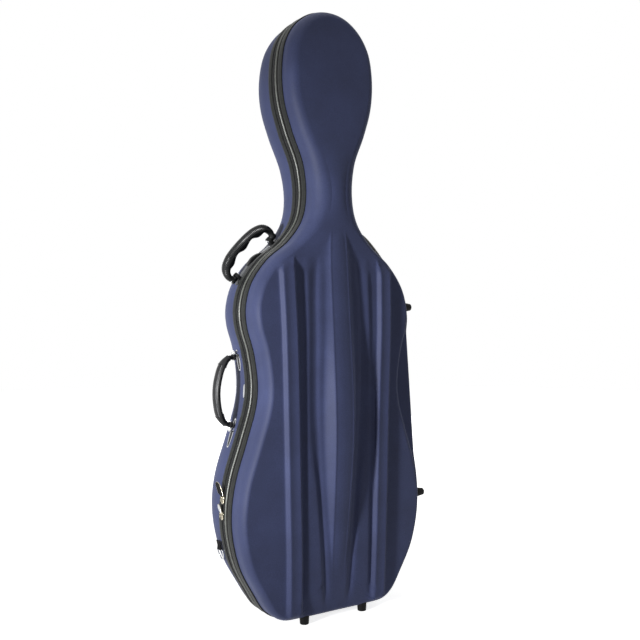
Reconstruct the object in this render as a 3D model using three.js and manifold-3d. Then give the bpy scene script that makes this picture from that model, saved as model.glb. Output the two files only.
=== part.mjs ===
// Cello hard case: two fabric-covered shells that meet at a zip, a straight hinge down one side,
// three carrying handles, rubber feet and a padded inside.
// Millimetres. x runs across the case, y from the lid (negative) to the back (positive), z is up.
// The zip lies in the plane y = 0 and the case stands on four rubber feet at z = 0.

import * as THREE from 'three';
import { mergeVertices } from 'three/addons/utils/BufferGeometryUtils.js';
import Module from 'manifold-3d';

const wasm = await Module();
wasm.setup();

// Half of the outline at the zip, from the middle of the bottom to the top of the head: [x, z].
const halfOutline = [
  [0, 10], [86, 10.5], [133, 14], [160, 32], [189, 77], [219, 134], [236, 200], [239, 256],
  [229, 324], [202, 408], [180.5, 480], [176.5, 526], [186, 596], [203, 655], [205.5, 697],
  [192, 748], [155, 800], [100, 845], [65, 893], [54, 948], [62, 1018], [91, 1090], [111, 1156],
  [116, 1224], [106, 1288], [79, 1332], [41, 1359], [0, 1367],
];
const outlineSteps = 48;      // facets on each half of the outline
const cavitySteps = 24;       // the same inside, where nothing fits closely

const clear = 0.3;            // gap between pieces that touch
const wall = 9;               // fabric, moulded skin, foam and lining together
const bandThickness = 2.4;    // bindings and zip, which wrap the edges of the shells
const spineLow = 215;         // the faces converge on the middle line between these heights
const spineHigh = 1235;

// Each list of stations gives a size along the height: [z, size].
const lidDepth = [
  [0, 78], [60, 83], [160, 86], [400, 89], [640, 90], [800, 84], [930, 93], [1070, 83], [1240, 77],
  [1367, 69],
];
const lidEdge = [[0, 22], [80, 14], [400, 13], [820, 16], [930, 33], [1070, 25], [1240, 23], [1367, 19]];
const lidEdgeDepth = [[0, 40], [100, 26], [400, 26], [820, 27], [930, 34], [1070, 28], [1367, 26]];
const lidCrown = 3;
const backDepth = [
  [0, 78], [60, 96], [160, 119], [300, 138], [640, 133], [790, 121], [920, 98], [1060, 108], [1200, 122],
  [1290, 110], [1367, 88],
];
const backEdge = [
  [0, 36], [120, 52], [250, 68], [700, 66], [800, 48], [900, 30], [1030, 32], [1200, 50], [1371, 42],
];
const backEdgeDepth = [[0, 58], [150, 88], [300, 98], [700, 92], [900, 60], [1200, 72], [1371, 52]];
const backCrown = 10;

// Two straight ribs stiffen the lid, and a bulge leaves room for bridge and strings.
const rib = { outer: 133, top: 113, ridge: 81, inner: 61, height: 15, setBack: 8, fade: [760, 845] };
// [z, depth of the top, half width of the top, half width of the base]
const bulge = [
  [40, 91, 16, 34], [110, 105, 19, 40], [200, 113, 23, 46], [300, 123, 26, 56], [400, 130, 30, 61],
  [480, 125, 31, 61], [600, 114, 28, 59], [700, 106, 26, 57], [800, 99, 24, 52], [900, 91, 18, 40],
];

// Where each strip lies across the zip: [from, to].
const lidBinding = [-38, -21];
const lidPiping = [-16, -7.4];
const lidZip = [-7, -0.2];
const backZip = [0.2, 7];
const backBinding = [7.4, 22];

// The hinge line touches both bouts on the side away from the handles: [x, z] at its two ends.
const hinge = { low: [239.5, 262], high: [206, 692], beyond: 6, lidLedge: 76, ledgeRound: 9, backLedge: 92 };
const patch = { length: 28, y: [-64, -42], thick: 3, aboveLow: 40, belowHigh: 64 };

const foot = { top: 12.5, radius: 10, x: 77, lidY: -72, backY: 58, recess: 3.5, recessDepth: 5 };
const sideFoot = { top: 10.5, radius: 8.5, low: [252, 21], high: [698, 15.5], lidY: -66, backY: 58 };

// A handle's sizes lie along the line from its lower to its upper end (u) and away from the shell (v).
// Its arch runs from a leg to the middle, [u, v]. The other sizes are half of what they name.
const shoulderHandle = {
  upper: [-93, 848.3], lower: [-188.4, 750.6], y: 33, axle: 12, leg: 7, lugs: 'inside', swell: 1.5,
  arch: [[71, 12], [74, 25], [67, 39], [46, 49.5], [0, 53.5]],
  thickness: [7, 11], width: [7.5, 13], grooves: 4, sections: 26,
  lug: { thick: 9, reach: 8 }, strap: { half: 73, width: 10.5 }, lens: { half: 22, width: 9, crown: 15 },
};
const sideHandle = {
  upper: [-182.5, 597], lower: [-192.5, 421], y: 42, axle: 10, leg: 6, lugs: 'outside', swell: 0,
  arch: [[75.5, 10], [72, 24], [54, 38], [27, 45.5], [0, 48]],
  thickness: [5, 8], width: [6, 14], grooves: 0, sections: 16,
  lug: { thick: 6, reach: 7 }, plates: { upper: [46, 92], lower: [-126, -62], width: 8, top: 3 },
};
const pinSizes = { radius: 3, bore: 3.4, head: 5, headTip: 4.4, headLength: 1.7, tip: 1.5 };
const handleFoot = -14;       // how deep a handle's plates start inside the shell before they are cut to it

// A slider rides on the zip. Its bridge holds the round bar of the pull.
const slider = { length: 17, width: 12, base: 0.4, top: 3.6, bridge: 7.3, axle: 5.2 };
const pull = { bar: 0.9, window: 7, slot: 2.2, lean: 28 };
const zips = [
  { level: 'upper', z: 278, length: 36, width: 12, finish: 'rubber' },
  { level: 'lower', z: 244, length: 24, width: 9, finish: 'chrome' },
];

// A chrome plate lies on the wall in the waist, and a ring for a carrying strap hangs below it.
const waistPlate = { low: 494, high: 525, y: [24.5, 29.5], out: -1.2, trim: 1.2 };
const strapRing = {
  z: 162, y: 36, width: 27, height: 24, wire: 1.6, tab: 20, out: 2.6, taper: 5, patch: 0.6,
};

// Padding in the back: [from, to] in height, half the width, and how far the top is from the zip.
const lowerPad = { z: [120, 190], half: 120, top: 92, crown: 10 };
const upperPad = { z: [640, 700], half: 100, top: 94, crown: 10 };
const headPad = { z: [1170, 1300], half: 62, top: 84, crown: 9 };
const waistPad = { z: [462, 592], y: [22, 104], inner: 122, hollow: 24, root: 240 };
const neckRest = { z: [905, 941], half: 60, top: 16, notch: 17, notchDepth: 26 };
const neckStrap = { z: [911, 935], thick: 2.2, half: 37 };
const endpinBlock = { high: 66, half: 62, top: 36, slot: 15 };

// Two bows lie in the lid, each held by a turning clip above and a pocket below. Depths are from the zip.
const bow = {
  x: 112, clipZ: 780, plate: [30, 46], baseTop: 68, armTop: 60, arm: 21,
  stud: 3.1, socket: 3.4, socketDepth: 4.5,
  pocketZ: [92, 158], pocketWidth: 40, pocketTop: 54, pocketWall: 3, pocketRoom: 14, pocketFloor: 4,
};

const finishes = {
  canvas: [0x2a3256, 0.72, 0],
  binding: [0x54564f, 0.6, 0],
  piping: [0x8b8c88, 0.55, 0],
  zipTape: [0x1d1e20, 0.7, 0],
  blackPlastic: [0x17181a, 0.45, 0],
  leather: [0x232325, 0.55, 0],
  rubber: [0x151515, 0.85, 0],
  chrome: [0xd8d8d6, 0.15, 1],
  brass: [0xc8b88a, 0.3, 1],
  plush: [0x3a3f55, 0.95, 0],
  foam: [0x2d3144, 0.95, 0],
  webbing: [0x18181b, 0.8, 0],
};

const caseGroup = new THREE.Group();
const lid = new THREE.Group();
caseGroup.add(lid);
caseGroup.position.set(-6.8, -9.8, 0);   // puts the middle of the whole case over the origin

// A smooth curve through stations, with the slope of their neighbours at each one.
function along(stations) {
  const last = stations.length - 1;
  const slope = (i) => {
    const before = stations[Math.max(i - 1, 0)];
    const after = stations[Math.min(i + 1, last)];
    return (after[1] - before[1]) / (after[0] - before[0]);
  };
  return (z) => {
    if (z <= stations[0][0]) return stations[0][1];
    if (z >= stations[last][0]) return stations[last][1];
    const i = stations.findIndex((station) => station[0] > z) - 1;
    const span = stations[i + 1][0] - stations[i][0];
    const t = (z - stations[i][0]) / span;
    const start = stations[i][1] * (1 + 2 * t) + slope(i) * span * t;
    const end = stations[i + 1][1] * (3 - 2 * t) - slope(i + 1) * span * (1 - t);
    return start * (1 - t) ** 2 + end * t * t;
  };
}

// The closed outline as evenly spaced points with outward normals, right side first.
function outlinePoints(steps) {
  const right = halfOutline.map(([x, z]) => new THREE.Vector3(x, 0, z));
  const left = halfOutline.slice(1, -1).reverse().map(([x, z]) => new THREE.Vector3(-x, 0, z));
  const curve = new THREE.CatmullRomCurve3([...right, ...left], true, 'centripetal');
  curve.arcLengthDivisions = 2000;
  const points = [{ x: 0, z: right[0].z, nx: 0, nz: -1 }];
  for (let i = 1; i < steps; i++) {
    const { x, z } = curve.getPointAt(i / steps / 2);
    const tangent = curve.getTangentAt(i / steps / 2);
    points.push({ x, z, nx: tangent.z, nz: -tangent.x });
  }
  points.push({ x: 0, z: right.at(-1).z, nx: 0, nz: 1 });
  const mirrored = points.slice(1, -1).reverse().map(({ x, z, nx, nz }) => ({ x: -x, z, nx: -nx, nz }));
  return [...points, ...mirrored];
}

function offset(point, distance) {
  return [point.x + point.nx * distance, point.z + point.nz * distance];
}

// Half width of the outline at a height.
function halfWidth(z) {
  const i = Math.max(outline.findIndex((point) => point.z > z), 1);
  const [a, b] = [outline[i - 1], outline[i]];
  return a.x + ((b.x - a.x) * (z - a.z)) / (b.z - a.z);
}

function hingeX(z) {
  const [[x0, z0], [x1, z1]] = [hinge.low, hinge.high];
  return x0 + ((x1 - x0) * (z - z0)) / (z1 - z0);
}

// A geometry from points and triangles, with doubles merged and the faces turned outwards.
function closed(points, triangles) {
  const loose = new THREE.BufferGeometry();
  loose.setAttribute('position', new THREE.Float32BufferAttribute(points.flat(), 3));
  loose.setIndex(triangles.flat());
  const merged = mergeVertices(loose, 1e-3);
  const corners = Array.from({ length: merged.attributes.position.count },
    (_, i) => new THREE.Vector3().fromBufferAttribute(merged.attributes.position, i));
  const index = [];
  let volume = 0;
  for (let i = 0; i < merged.index.count; i += 3) {
    const [a, b, c] = [0, 1, 2].map((k) => merged.index.getX(i + k));
    if (a === b || b === c || c === a) continue;
    index.push(a, b, c);
    volume += corners[a].dot(corners[b].clone().cross(corners[c]));
  }
  if (volume < 0) index.reverse();
  merged.setIndex(index);
  return merged;
}

// A surface over rows of points. It wraps round when the rows form a ring, and gets end caps when
// each row is itself a ring.
function surface(rows, { ringOfRows, rowsAreRings }) {
  const width = rows[0].length;
  const points = rows.flat();
  const triangles = [];
  for (let i = 0; i < (ringOfRows ? rows.length : rows.length - 1); i++) {
    const a = i * width;
    const b = ((i + 1) % rows.length) * width;
    for (let j = 0; j < (rowsAreRings ? width : width - 1); j++) {
      const k = (j + 1) % width;
      triangles.push([a + j, a + k, b + k], [a + j, b + k, b + j]);
    }
  }
  if (rowsAreRings && !ringOfRows) {
    capEnd(points, triangles, 0, width, false);
    capEnd(points, triangles, (rows.length - 1) * width, width, true);
  }
  return closed(points, triangles);
}

function capEnd(points, triangles, first, width, turned) {
  const ring = points.slice(first, first + width);
  const middle = points.length;
  points.push([0, 1, 2].map((axis) => ring.reduce((sum, point) => sum + point[axis], 0) / width));
  for (let j = 0; j < width; j++) {
    const [a, b] = [first + j, first + ((j + 1) % width)];
    triangles.push(turned ? [a, b, middle] : [b, a, middle]);
  }
}

// A body whose cross-section at each station is a ring of points.
function loft(stations, ringAt) {
  return surface(stations.map(ringAt), { ringOfRows: false, rowsAreRings: true });
}

function steps(from, to, count) {
  return Array.from({ length: count + 1 }, (_, i) => from + ((to - from) * i) / count);
}

function solid(geometry) {
  const bare = geometry.clone();
  bare.deleteAttribute('normal');
  bare.deleteAttribute('uv');
  const { attributes, index } = mergeVertices(bare, 1e-3);
  return new wasm.Manifold(new wasm.Mesh({
    numProp: 3,
    vertProperties: new Float32Array(attributes.position.array),
    triVerts: new Uint32Array(index.array),
  }));
}

function geometryOf(manifold) {
  const mesh = manifold.simplify(0.02).getMesh();
  const geometry = new THREE.BufferGeometry();
  geometry.setAttribute('position', new THREE.BufferAttribute(new Float32Array(mesh.vertProperties), 3));
  geometry.setIndex(new THREE.BufferAttribute(new Uint32Array(mesh.triVerts), 1));
  return geometry;
}

function piece(name, geometry, finish, parent = caseGroup) {
  const [color, roughness, metalness] = finishes[finish];
  const mesh = new THREE.Mesh(geometry, new THREE.MeshStandardMaterial({ color, roughness, metalness }));
  mesh.name = name;
  parent.add(mesh);
}

const outline = outlinePoints(outlineSteps);
const cavityOutline = outlinePoints(cavitySteps);

// One half of the case as a solid. Every row of points runs from the middle line out to the edge,
// up the wall, over the rounded edge and back to the middle line across the face.
function halfForm(points, { side, inset, rim, depth, edge, edgeDepth, crown, arcSteps, faceSteps }) {
  const rows = points.map((point) => {
    const reach = edge(point.z);
    const round = edgeDepth(point.z);
    const [innerX, innerZ] = offset(point, -inset - reach);
    const middle = Math.min(Math.max(innerZ, spineLow), spineHigh);
    const [rimX, rimZ] = offset(point, -inset);
    const row = [[0, side * rim, middle], [rimX, side * rim, rimZ]];
    for (const angle of steps(0, Math.PI / 2, arcSteps)) {
      const [x, z] = offset(point, -inset - reach * (1 - Math.cos(angle)));
      row.push([x, side * (depth(z) - round * (1 - Math.sin(angle))), z]);
    }
    for (const t of steps(0, 1, faceSteps).slice(1)) {
      const z = innerZ + (middle - innerZ) * t;
      row.push([innerX * (1 - t), side * (depth(z) + crown * (1 - (1 - t) ** 2)), z]);
    }
    return row;
  });
  return solid(surface(rows, { ringOfRows: true, rowsAreRings: false }));
}

function lidForm(points, { inward = 0, deeper = 0, rim = clear / 2, arcSteps = 4, faceSteps = 4 } = {}) {
  const depth = along(lidDepth);
  return halfForm(points, {
    side: -1, inset: bandThickness + clear + inward, rim, arcSteps, faceSteps, crown: lidCrown,
    depth: (z) => depth(z) + deeper, edge: along(lidEdge), edgeDepth: along(lidEdgeDepth),
  });
}

function backForm(points, { inward = 0, deeper = 0, rim = clear / 2, arcSteps = 5, faceSteps = 4 } = {}) {
  const depth = along(backDepth);
  return halfForm(points, {
    side: 1, inset: bandThickness + clear + inward, rim, arcSteps, faceSteps, crown: backCrown,
    depth: (z) => depth(z) + deeper, edge: along(backEdge), edgeDepth: along(backEdgeDepth),
  });
}

const lidFace = along(lidDepth);

// A rib is a bar with sloping flanks, cut to the form of the lid raised by the height of the rib.
// It sinks into the lid at the shoulder.
function ribSolid(mirror) {
  const [full, gone] = rib.fade;
  const bar = loft([0, 120, 400, 640, full, gone], (z) => {
    const root = lidFace(z) - wall / 2;
    const high = lidFace(z) + (z === gone ? -1 : rib.height + lidCrown);
    const left = [[rib.outer, root], [rib.outer, lidFace(z)], [rib.top, high]];
    const right = [[rib.ridge, high], [rib.inner, lidFace(z)], [rib.inner, root]];
    return [...left, ...right].map(([x, y]) => [mirror * x, -y, z]);
  });
  return solid(bar).intersect(lidForm(outline, { inward: rib.setBack, deeper: rib.height, faceSteps: 3 }));
}

// The bulge over bridge and strings, or its hollow when it is drawn in by the wall.
function bulgeSolid(from, to, sections, drawnIn) {
  const top = along(bulge.map(([z, depth]) => [z, depth]));
  const flat = along(bulge.map(([z, , half]) => [z, half]));
  const base = along(bulge.map(([z, , , half]) => [z, half]));
  return solid(loft(steps(from, to, sections), (z) => {
    const root = lidFace(z) - wall - 2;
    const face = lidFace(z) - drawnIn;
    const [b, f, t] = [base(z) - drawnIn, flat(z) - drawnIn * 0.4, top(z) - drawnIn];
    const right = [[b, root], [b, face], [(f + b) / 2, (t + face) / 2 + 2], [f + 3, t - 4], [f - 5, t]];
    const left = right.map(([x, y]) => [-x, y]).reverse();
    return [...right, ...left].map(([x, y]) => [x, -y, z]);
  }));
}

// The strips follow the outline, and the hinge line where the waist is filled out to it.
const [hingeLow, hingeHigh] = [hinge.low[1] - hinge.beyond, hinge.high[1] + hinge.beyond];
const onHinge = (point) => point.x > 0 && point.z > hingeLow && point.z < hingeHigh;
const rimLine = outline.map((point) => (
  onHinge(point) ? { ...point, x: hingeX(point.z), nx: 1, nz: 0 } : point
));
const hingeStart = rimLine.findIndex(onHinge);
const hingeEnd = rimLine.findLastIndex(onHinge);
const zipRun = [...rimLine.slice(hingeEnd + 1), ...rimLine.slice(0, hingeStart)];
const hingeRun = rimLine.slice(hingeStart - 1, hingeEnd + 2);

// Each half fills the waist on the hinge side out to the straight hinge line, with a ledge.
function hingeLedge(side, depth) {
  const round = hinge.ledgeRound;
  return solid(loft(hingeRun, (point) => {
    const [outer, z] = offset(point, -bandThickness - clear);
    const inner = halfWidth(z) - wall * 1.5;
    const bend = round * 0.3;
    const corner = [[outer, depth - round], [outer - bend, depth - bend], [outer - round, depth]];
    return [[inner, clear / 2], [outer, clear / 2], ...corner, [inner, depth]]
      .map(([x, y]) => [x, side * y, z]);
  }));
}

const lidRoom = { inward: wall, deeper: -wall, rim: -6, arcSteps: 3, faceSteps: 2 };
const lidSkin = lidForm(outline)
  .add(hingeLedge(-1, hinge.lidLedge))
  .add(ribSolid(1))
  .add(ribSolid(-1))
  .add(bulgeSolid(40, 900, 15, 0));
piece('lid_shell', geometryOf(lidSkin
  .subtract(lidForm(cavityOutline, lidRoom))
  .subtract(bulgeSolid(60, 840, 9, wall))), 'canvas', lid);

const backRoom = { inward: wall, deeper: -wall, rim: -6, arcSteps: 4, faceSteps: 2 };
const backSkin = backForm(outline).add(hingeLedge(1, hinge.backLedge));
piece('back_shell', geometryOf(backSkin.subtract(backForm(cavityOutline, backRoom))), 'canvas');

function strip(points, [from, to], outer, whole = false) {
  const section = [[-bandThickness, from], [outer, from], [outer, to], [-bandThickness, to]];
  const rows = points.map((point) => section.map(([out, y]) => {
    const [x, z] = offset(point, out);
    return [x, y, z];
  }));
  return surface(rows, { ringOfRows: whole, rowsAreRings: true });
}

piece('lid_binding', strip(rimLine, lidBinding, 0, true), 'binding', lid);
piece('back_binding', strip(rimLine, backBinding, 0, true), 'binding');
piece('lid_piping', strip(zipRun, lidPiping, 0.4), 'piping', lid);
piece('lid_zip_tape', strip(zipRun, lidZip, -0.4), 'zipTape', lid);
piece('back_zip_tape', strip(zipRun, backZip, -0.4), 'zipTape');
const hingeTapeRun = hingeRun.slice(1, -1);
piece('lid_hinge_tape', strip(hingeTapeRun, [lidBinding[1] + clear, lidZip[1]], 0), 'webbing', lid);
piece('back_hinge_tape', strip(hingeTapeRun, backZip, 0), 'webbing');

// Leather patches cover both ends of the hinge on the lid's ledge.
const patchStarts = { lower: hinge.low[1] + patch.aboveLow, upper: hinge.high[1] - patch.belowHigh };
for (const [name, from] of Object.entries(patchStarts)) {
  const to = from + patch.length;
  const form = loft([from, from + patch.length / 4, to - patch.length / 4, to], (z) => {
    const swell = z === from || z === to ? patch.thick / 2 : patch.thick;
    const inner = hingeX(z) - bandThickness;
    const [low, high] = patch.y;
    return [[inner, high], [inner + swell, high - 1], [inner + swell, low + 1], [inner, low]]
      .map(([x, y]) => [x, y, z]);
  });
  piece(`hinge_end_patch_${name}`, form, 'leather', lid);
}

// Rubber feet are cut to the shell that they sit on.
function rubberFoot({ top, radius }, length) {
  const { recess, recessDepth } = foot;
  const hollow = [[0, recessDepth], [recess, recessDepth], [recess, 0]];
  const profile = [...hollow, [radius - 1, 0], [radius, 1], [top, length], [0, length]];
  return new THREE.LatheGeometry(profile.map(([r, h]) => new THREE.Vector2(r, h)), 12).rotateX(Math.PI / 2);
}

const lidSeat = lidSkin.add(lidForm(outline, { inward: -clear, deeper: clear, faceSteps: 2 }));
const backSeat = backSkin.add(backForm(outline, { inward: -clear, deeper: clear, faceSteps: 2 }));
const seats = { lid: { seat: lidSeat, parent: lid }, back: { seat: backSeat, parent: caseGroup } };

for (const [half, { seat, parent }] of Object.entries(seats)) {
  for (const [hand, mirror] of [['left', -1], ['right', 1]]) {
    const standing = rubberFoot(foot, 45).translate(mirror * foot.x, foot[`${half}Y`], 0);
    piece(`foot_bottom_${half}_${hand}`, geometryOf(solid(standing).subtract(seat)), 'rubber', parent);
  }
  for (const height of ['low', 'high']) {
    const [z, reach] = sideFoot[height];
    const lying = rubberFoot(sideFoot, 40).rotateY(-Math.PI / 2)
      .translate(halfWidth(z) + reach, sideFoot[`${half}Y`], z);
    piece(`foot_side_${half}_${height}`, geometryOf(solid(lying).subtract(seat)), 'rubber', parent);
  }
}

// The frame of a carrying handle: u from its lower to its upper end, v away from the shell.
function handleFrame({ upper, lower, y }, mirror) {
  const middle = [(upper[0] + lower[0]) / 2, (upper[1] + lower[1]) / 2];
  const length = Math.hypot(upper[0] - lower[0], upper[1] - lower[1]);
  const [ux, uz] = [(upper[0] - lower[0]) / length, (upper[1] - lower[1]) / length];
  return ([u, v, w]) => [mirror * (middle[0] + u * ux - v * uz), y + w, middle[1] + u * uz + v * ux];
}

function disc(place, u, v, radius, sides) {
  return steps(0, 1, sides).slice(1).map((t) => {
    const angle = t * Math.PI * 2;
    return place([u, v + radius * Math.cos(angle), radius * Math.sin(angle)]);
  });
}

// The grip swells from its legs to the middle, where the fingers have their grooves. Each leg ends
// in a round eye on its pin.
function grip(handle, place) {
  const { arch, thickness, width, grooves, axle, leg, swell } = handle;
  const half = arch.map(([u, v]) => new THREE.Vector3(u, v, 0));
  const mirrored = half.slice(0, -1).reverse().map(({ x, y }) => new THREE.Vector3(-x, y, 0));
  const path = new THREE.CatmullRomCurve3([...half, ...mirrored], false, 'centripetal');
  const body = loft(steps(0, 1, handle.sections), (t) => {
    const at = path.getPointAt(t);
    const way = path.getTangentAt(t);
    const full = Math.min(1, Math.max(0, (Math.min(t, 1 - t) - 0.04) / 0.16));
    const across = width[0] + (width[1] - width[0]) * full;
    const deep = thickness[0] + (thickness[1] - thickness[0]) * full;
    const groove = swell * full * Math.cos(((t - 0.5) / 0.5) * Math.PI * grooves);
    return steps(0, 1, 8).slice(1).map((turn) => {
      const angle = turn * Math.PI * 2;
      const side = Math.cos(angle) * (Math.cos(angle) > 0 ? deep : deep + groove);
      return place([at.x - way.y * side, at.y + way.x * side, Math.sin(angle) * across]);
    });
  });
  const [end] = arch[0];
  return [end, -end].reduce((whole, u) => {
    const eye = loft([u - leg, u + leg], (at) => disc(place, at, axle, leg + 0.5, 14));
    const bore = loft([u - 2 * leg, u + 2 * leg], (at) => disc(place, at, axle, pinSizes.bore, 10));
    return whole.add(solid(eye)).subtract(solid(bore));
  }, solid(body));
}

// A lug stands on the base beside each leg and holds its pin.
function lugs(handle, place) {
  const [end] = handle.arch[0];
  const { thick, reach } = handle.lug;
  const away = handle.lugs === 'outside' ? 1 : -1;
  const near = end + away * (handle.leg + 0.9);
  return [1, -1].map((sign) => {
    const stations = [sign * near, sign * (near + away * thick)];
    const lug = loft(stations, (u) => [
      [-6, -reach], [handle.axle, -reach], [handle.axle + reach * 0.75, -reach * 0.6],
      [handle.axle + reach * 0.75, reach * 0.6], [handle.axle, reach], [-6, reach],
    ].map(([v, w]) => place([u, v, w])));
    const around = [stations[0] - 2 * thick, stations[0] + 2 * thick];
    const bore = loft(around, (u) => disc(place, u, handle.axle, pinSizes.bore, 10));
    return { lug: solid(lug).subtract(solid(bore)), far: stations[1] };
  });
}

// A pin runs from beyond the eye to the far side of the lug, where its head lies.
function pin(handle, place, { far }) {
  const [end] = handle.arch[0];
  const { radius, head, headTip, headLength, tip } = pinSizes;
  const away = Math.sign(far) * (handle.lugs === 'outside' ? 1 : -1);
  const start = Math.sign(far) * end - away * (handle.leg + tip);
  const seat = far + away * clear;
  const stations = [[start, radius], [seat, radius], [seat, head], [seat + away * headLength, headTip]];
  return loft(stations, ([u, size]) => disc(place, u, handle.axle, size, 10));
}

// The base of a shoulder handle is a strap along the shell with a lens-shaped pad, with room for the
// eyes to turn in.
function shoulderBase(place, ends) {
  const { strap, lens, arch, leg, axle } = shoulderHandle;
  const band = solid(loft([-strap.half, -strap.half + 8, strap.half - 8, strap.half], (u) => {
    const half = strap.width * (Math.abs(u) === strap.half ? 0.6 : 1);
    return [[handleFoot, -half], [20, -half], [20, half], [handleFoot, half]]
      .map(([v, w]) => place([u, v, w]));
  })).intersect(backForm(outline, { inward: -3, deeper: 3, faceSteps: 2 }));
  const pad = solid(loft([-1, -0.7, 0, 0.7, 1], (t) => {
    const crown = lens.crown - 6 * t * t;
    const half = lens.width - 4 * t * t;
    return [[handleFoot, -half], [crown - 2, -half], [crown, 0], [crown - 2, half], [handleFoot, half]]
      .map(([v, w]) => place([t * lens.half, v, w]));
  }));
  const rooms = [1, -1].map((sign) => {
    const u = sign * arch[0][0];
    const reach = leg + 2 * clear;
    return solid(loft([u - reach, u + reach], (at) => disc(place, at, axle, reach + 0.7, 14)));
  });
  return band.add(pad).subtract(rooms[0]).subtract(rooms[1])
    .add(ends[0].lug).add(ends[1].lug).subtract(backSeat);
}

for (const [hand, mirror] of [['left', 1], ['right', -1]]) {
  const place = handleFrame(shoulderHandle, mirror);
  piece(`shoulder_grip_${hand}`, geometryOf(grip(shoulderHandle, place)), 'blackPlastic');
  const ends = lugs(shoulderHandle, place);
  piece(`shoulder_handle_base_${hand}`, geometryOf(shoulderBase(place, ends)), 'blackPlastic');
  piece(`shoulder_pin_${hand}_upper`, pin(shoulderHandle, place, ends[0]), 'chrome');
  piece(`shoulder_pin_${hand}_lower`, pin(shoulderHandle, place, ends[1]), 'chrome');
}

const sidePlace = handleFrame(sideHandle, 1);
const sideEnds = lugs(sideHandle, sidePlace);
piece('side_grip', geometryOf(grip(sideHandle, sidePlace)), 'leather');
for (const [level, end] of [['upper', sideEnds[0]], ['lower', sideEnds[1]]]) {
  const { width, top } = sideHandle.plates;
  const [from, to] = sideHandle.plates[level];
  const plate = loft([from, from + 4, to - 4, to], (u) => {
    const half = width * (u === from || u === to ? 0.5 : 1);
    return [[handleFoot, -half], [top, -half], [top, half], [handleFoot, half]]
      .map(([v, w]) => sidePlace([u, v, w]));
  });
  piece(`side_handle_bracket_${level}`, geometryOf(solid(plate).add(end.lug).subtract(backSeat)), 'chrome');
  piece(`side_pin_${level}`, pin(sideHandle, sidePlace, end), 'chrome');
}

// A frame on the wall at the zip on the side of the handles: [along the zip, outwards, y].
function wallFrame(z) {
  const slope = (halfWidth(z + 5) - halfWidth(z - 5)) / 10;
  const length = Math.hypot(1, slope);
  return ([along, out, y]) => [
    -halfWidth(z) - (along * slope + out) / length, y, z + (along - out * slope) / length,
  ];
}

for (const { level, z, length, width, finish } of zips) {
  const place = wallFrame(z);
  const end = slider.length / 2;
  const saddle = loft([-end, -end + 3, 0, end - 3, end], (a) => {
    const half = slider.width / 2 - (Math.abs(a) === end ? 2 : 0) - (a === 0 ? 0.7 : 0);
    const top = slider.top - (Math.abs(a) === end ? 0.8 : 0);
    const [low, shoulder] = [slider.base, top - 0.8];
    return [[low, -half], [shoulder, -half], [top, -half + 1], [top, half - 1], [shoulder, half], [low, half]]
      .map(([out, y]) => place([a, out, y]));
  });
  const bridge = loft([-1.2, 1.2], (y) => [
    [-4.5, 2], [-4.5, 5.6], [-3, slider.bridge], [3, slider.bridge], [4.5, 5.6], [4.5, 2],
  ].map(([a, out]) => place([a, out, y])));
  const eye = loft([-3, 3], (y) => [[-2.2, 4], [-2.2, 6.4], [2.2, 6.4], [2.2, 4]]
    .map(([a, out]) => place([a, out, y])));
  piece(`zip_slider_${level}`, geometryOf(solid(saddle).add(solid(bridge)).subtract(solid(eye))), 'brass');

  const lean = Math.tan((pull.lean * Math.PI) / 180);
  const drift = (a) => Math.max(0, a - pull.window) * lean;
  const half = (a) => width / 2 - (a === length ? 3 : 0) - (a < pull.window + 3 ? 1 : 0);
  const stations = [pull.window, pull.window + 3, length - 4, length];
  const low = slider.axle - pull.bar;
  const high = slider.axle + pull.bar;
  const tab = loft(stations, (a) => [
    [low, -half(a)], [high, -half(a)], [high, half(a)], [low, half(a)],
  ].map(([out, y]) => place([a, out, y + drift(a)])));
  const arms = [-1, 1].map((side) => solid(loft([-pull.bar, pull.window + 0.5], (a) => {
    const [near, far] = [side * pull.slot, side * (width / 2 - 1)];
    return [[low, near], [high, near], [high, far], [low, far]].map(([out, y]) => place([a, out, y]));
  })));
  const bar = loft([-pull.slot - 0.5, pull.slot + 0.5], (y) => steps(0, 1, 8).slice(1).map((turn) => {
    const angle = turn * Math.PI * 2;
    return place([pull.bar * Math.cos(angle), slider.axle + pull.bar * Math.sin(angle), y]);
  }));
  const whole = solid(tab).add(arms[0]).add(arms[1]).add(solid(bar));
  piece(`zip_pull_${level}`, geometryOf(whole), finish);
}

const plateMiddle = (waistPlate.low + waistPlate.high) / 2;
const plateHalf = (waistPlate.high - waistPlate.low) / 2;
const plateSection = loft([-plateHalf, -plateHalf + 2, plateHalf - 2, plateHalf], (a) => {
  const trim = Math.abs(a) === plateHalf ? waistPlate.trim : 0;
  const [from, to] = waistPlate.y;
  return [[-8, from + trim], [waistPlate.out, from + trim], [waistPlate.out, to - trim], [-8, to - trim]]
    .map(([out, y]) => wallFrame(plateMiddle)([a, out, y]));
});
piece('waist_plate', geometryOf(solid(plateSection).subtract(backSeat)), 'chrome');

// The ring hangs in a loop of the tab, which is sewn to the wall.
const ringPlace = wallFrame(strapRing.z);
const { wire, out: ringOut, y: ringY } = strapRing;
const ringHalf = strapRing.width / 2;
const ringPath = new THREE.CatmullRomCurve3([
  [0, ringHalf - 3], [0, 0], [0, -ringHalf + 3], [-2.5, -ringHalf], [-10, -ringHalf + 0.5],
  [-19, -ringHalf + 6], [-strapRing.height, 0], [-19, ringHalf - 6], [-10, ringHalf - 0.5], [-2.5, ringHalf],
].map(([a, y]) => new THREE.Vector3(a, 0, y)), true, 'centripetal');
const ringRows = steps(0, 1, 28).slice(1).map((t) => {
  const at = ringPath.getPointAt(t);
  const way = ringPath.getTangentAt(t);
  return steps(0, 1, 8).slice(1).map((turn) => {
    const angle = turn * Math.PI * 2;
    const side = wire * Math.cos(angle);
    return ringPlace([at.x - way.z * side, ringOut + wire * Math.sin(angle), ringY + at.z + way.x * side]);
  });
});
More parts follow.
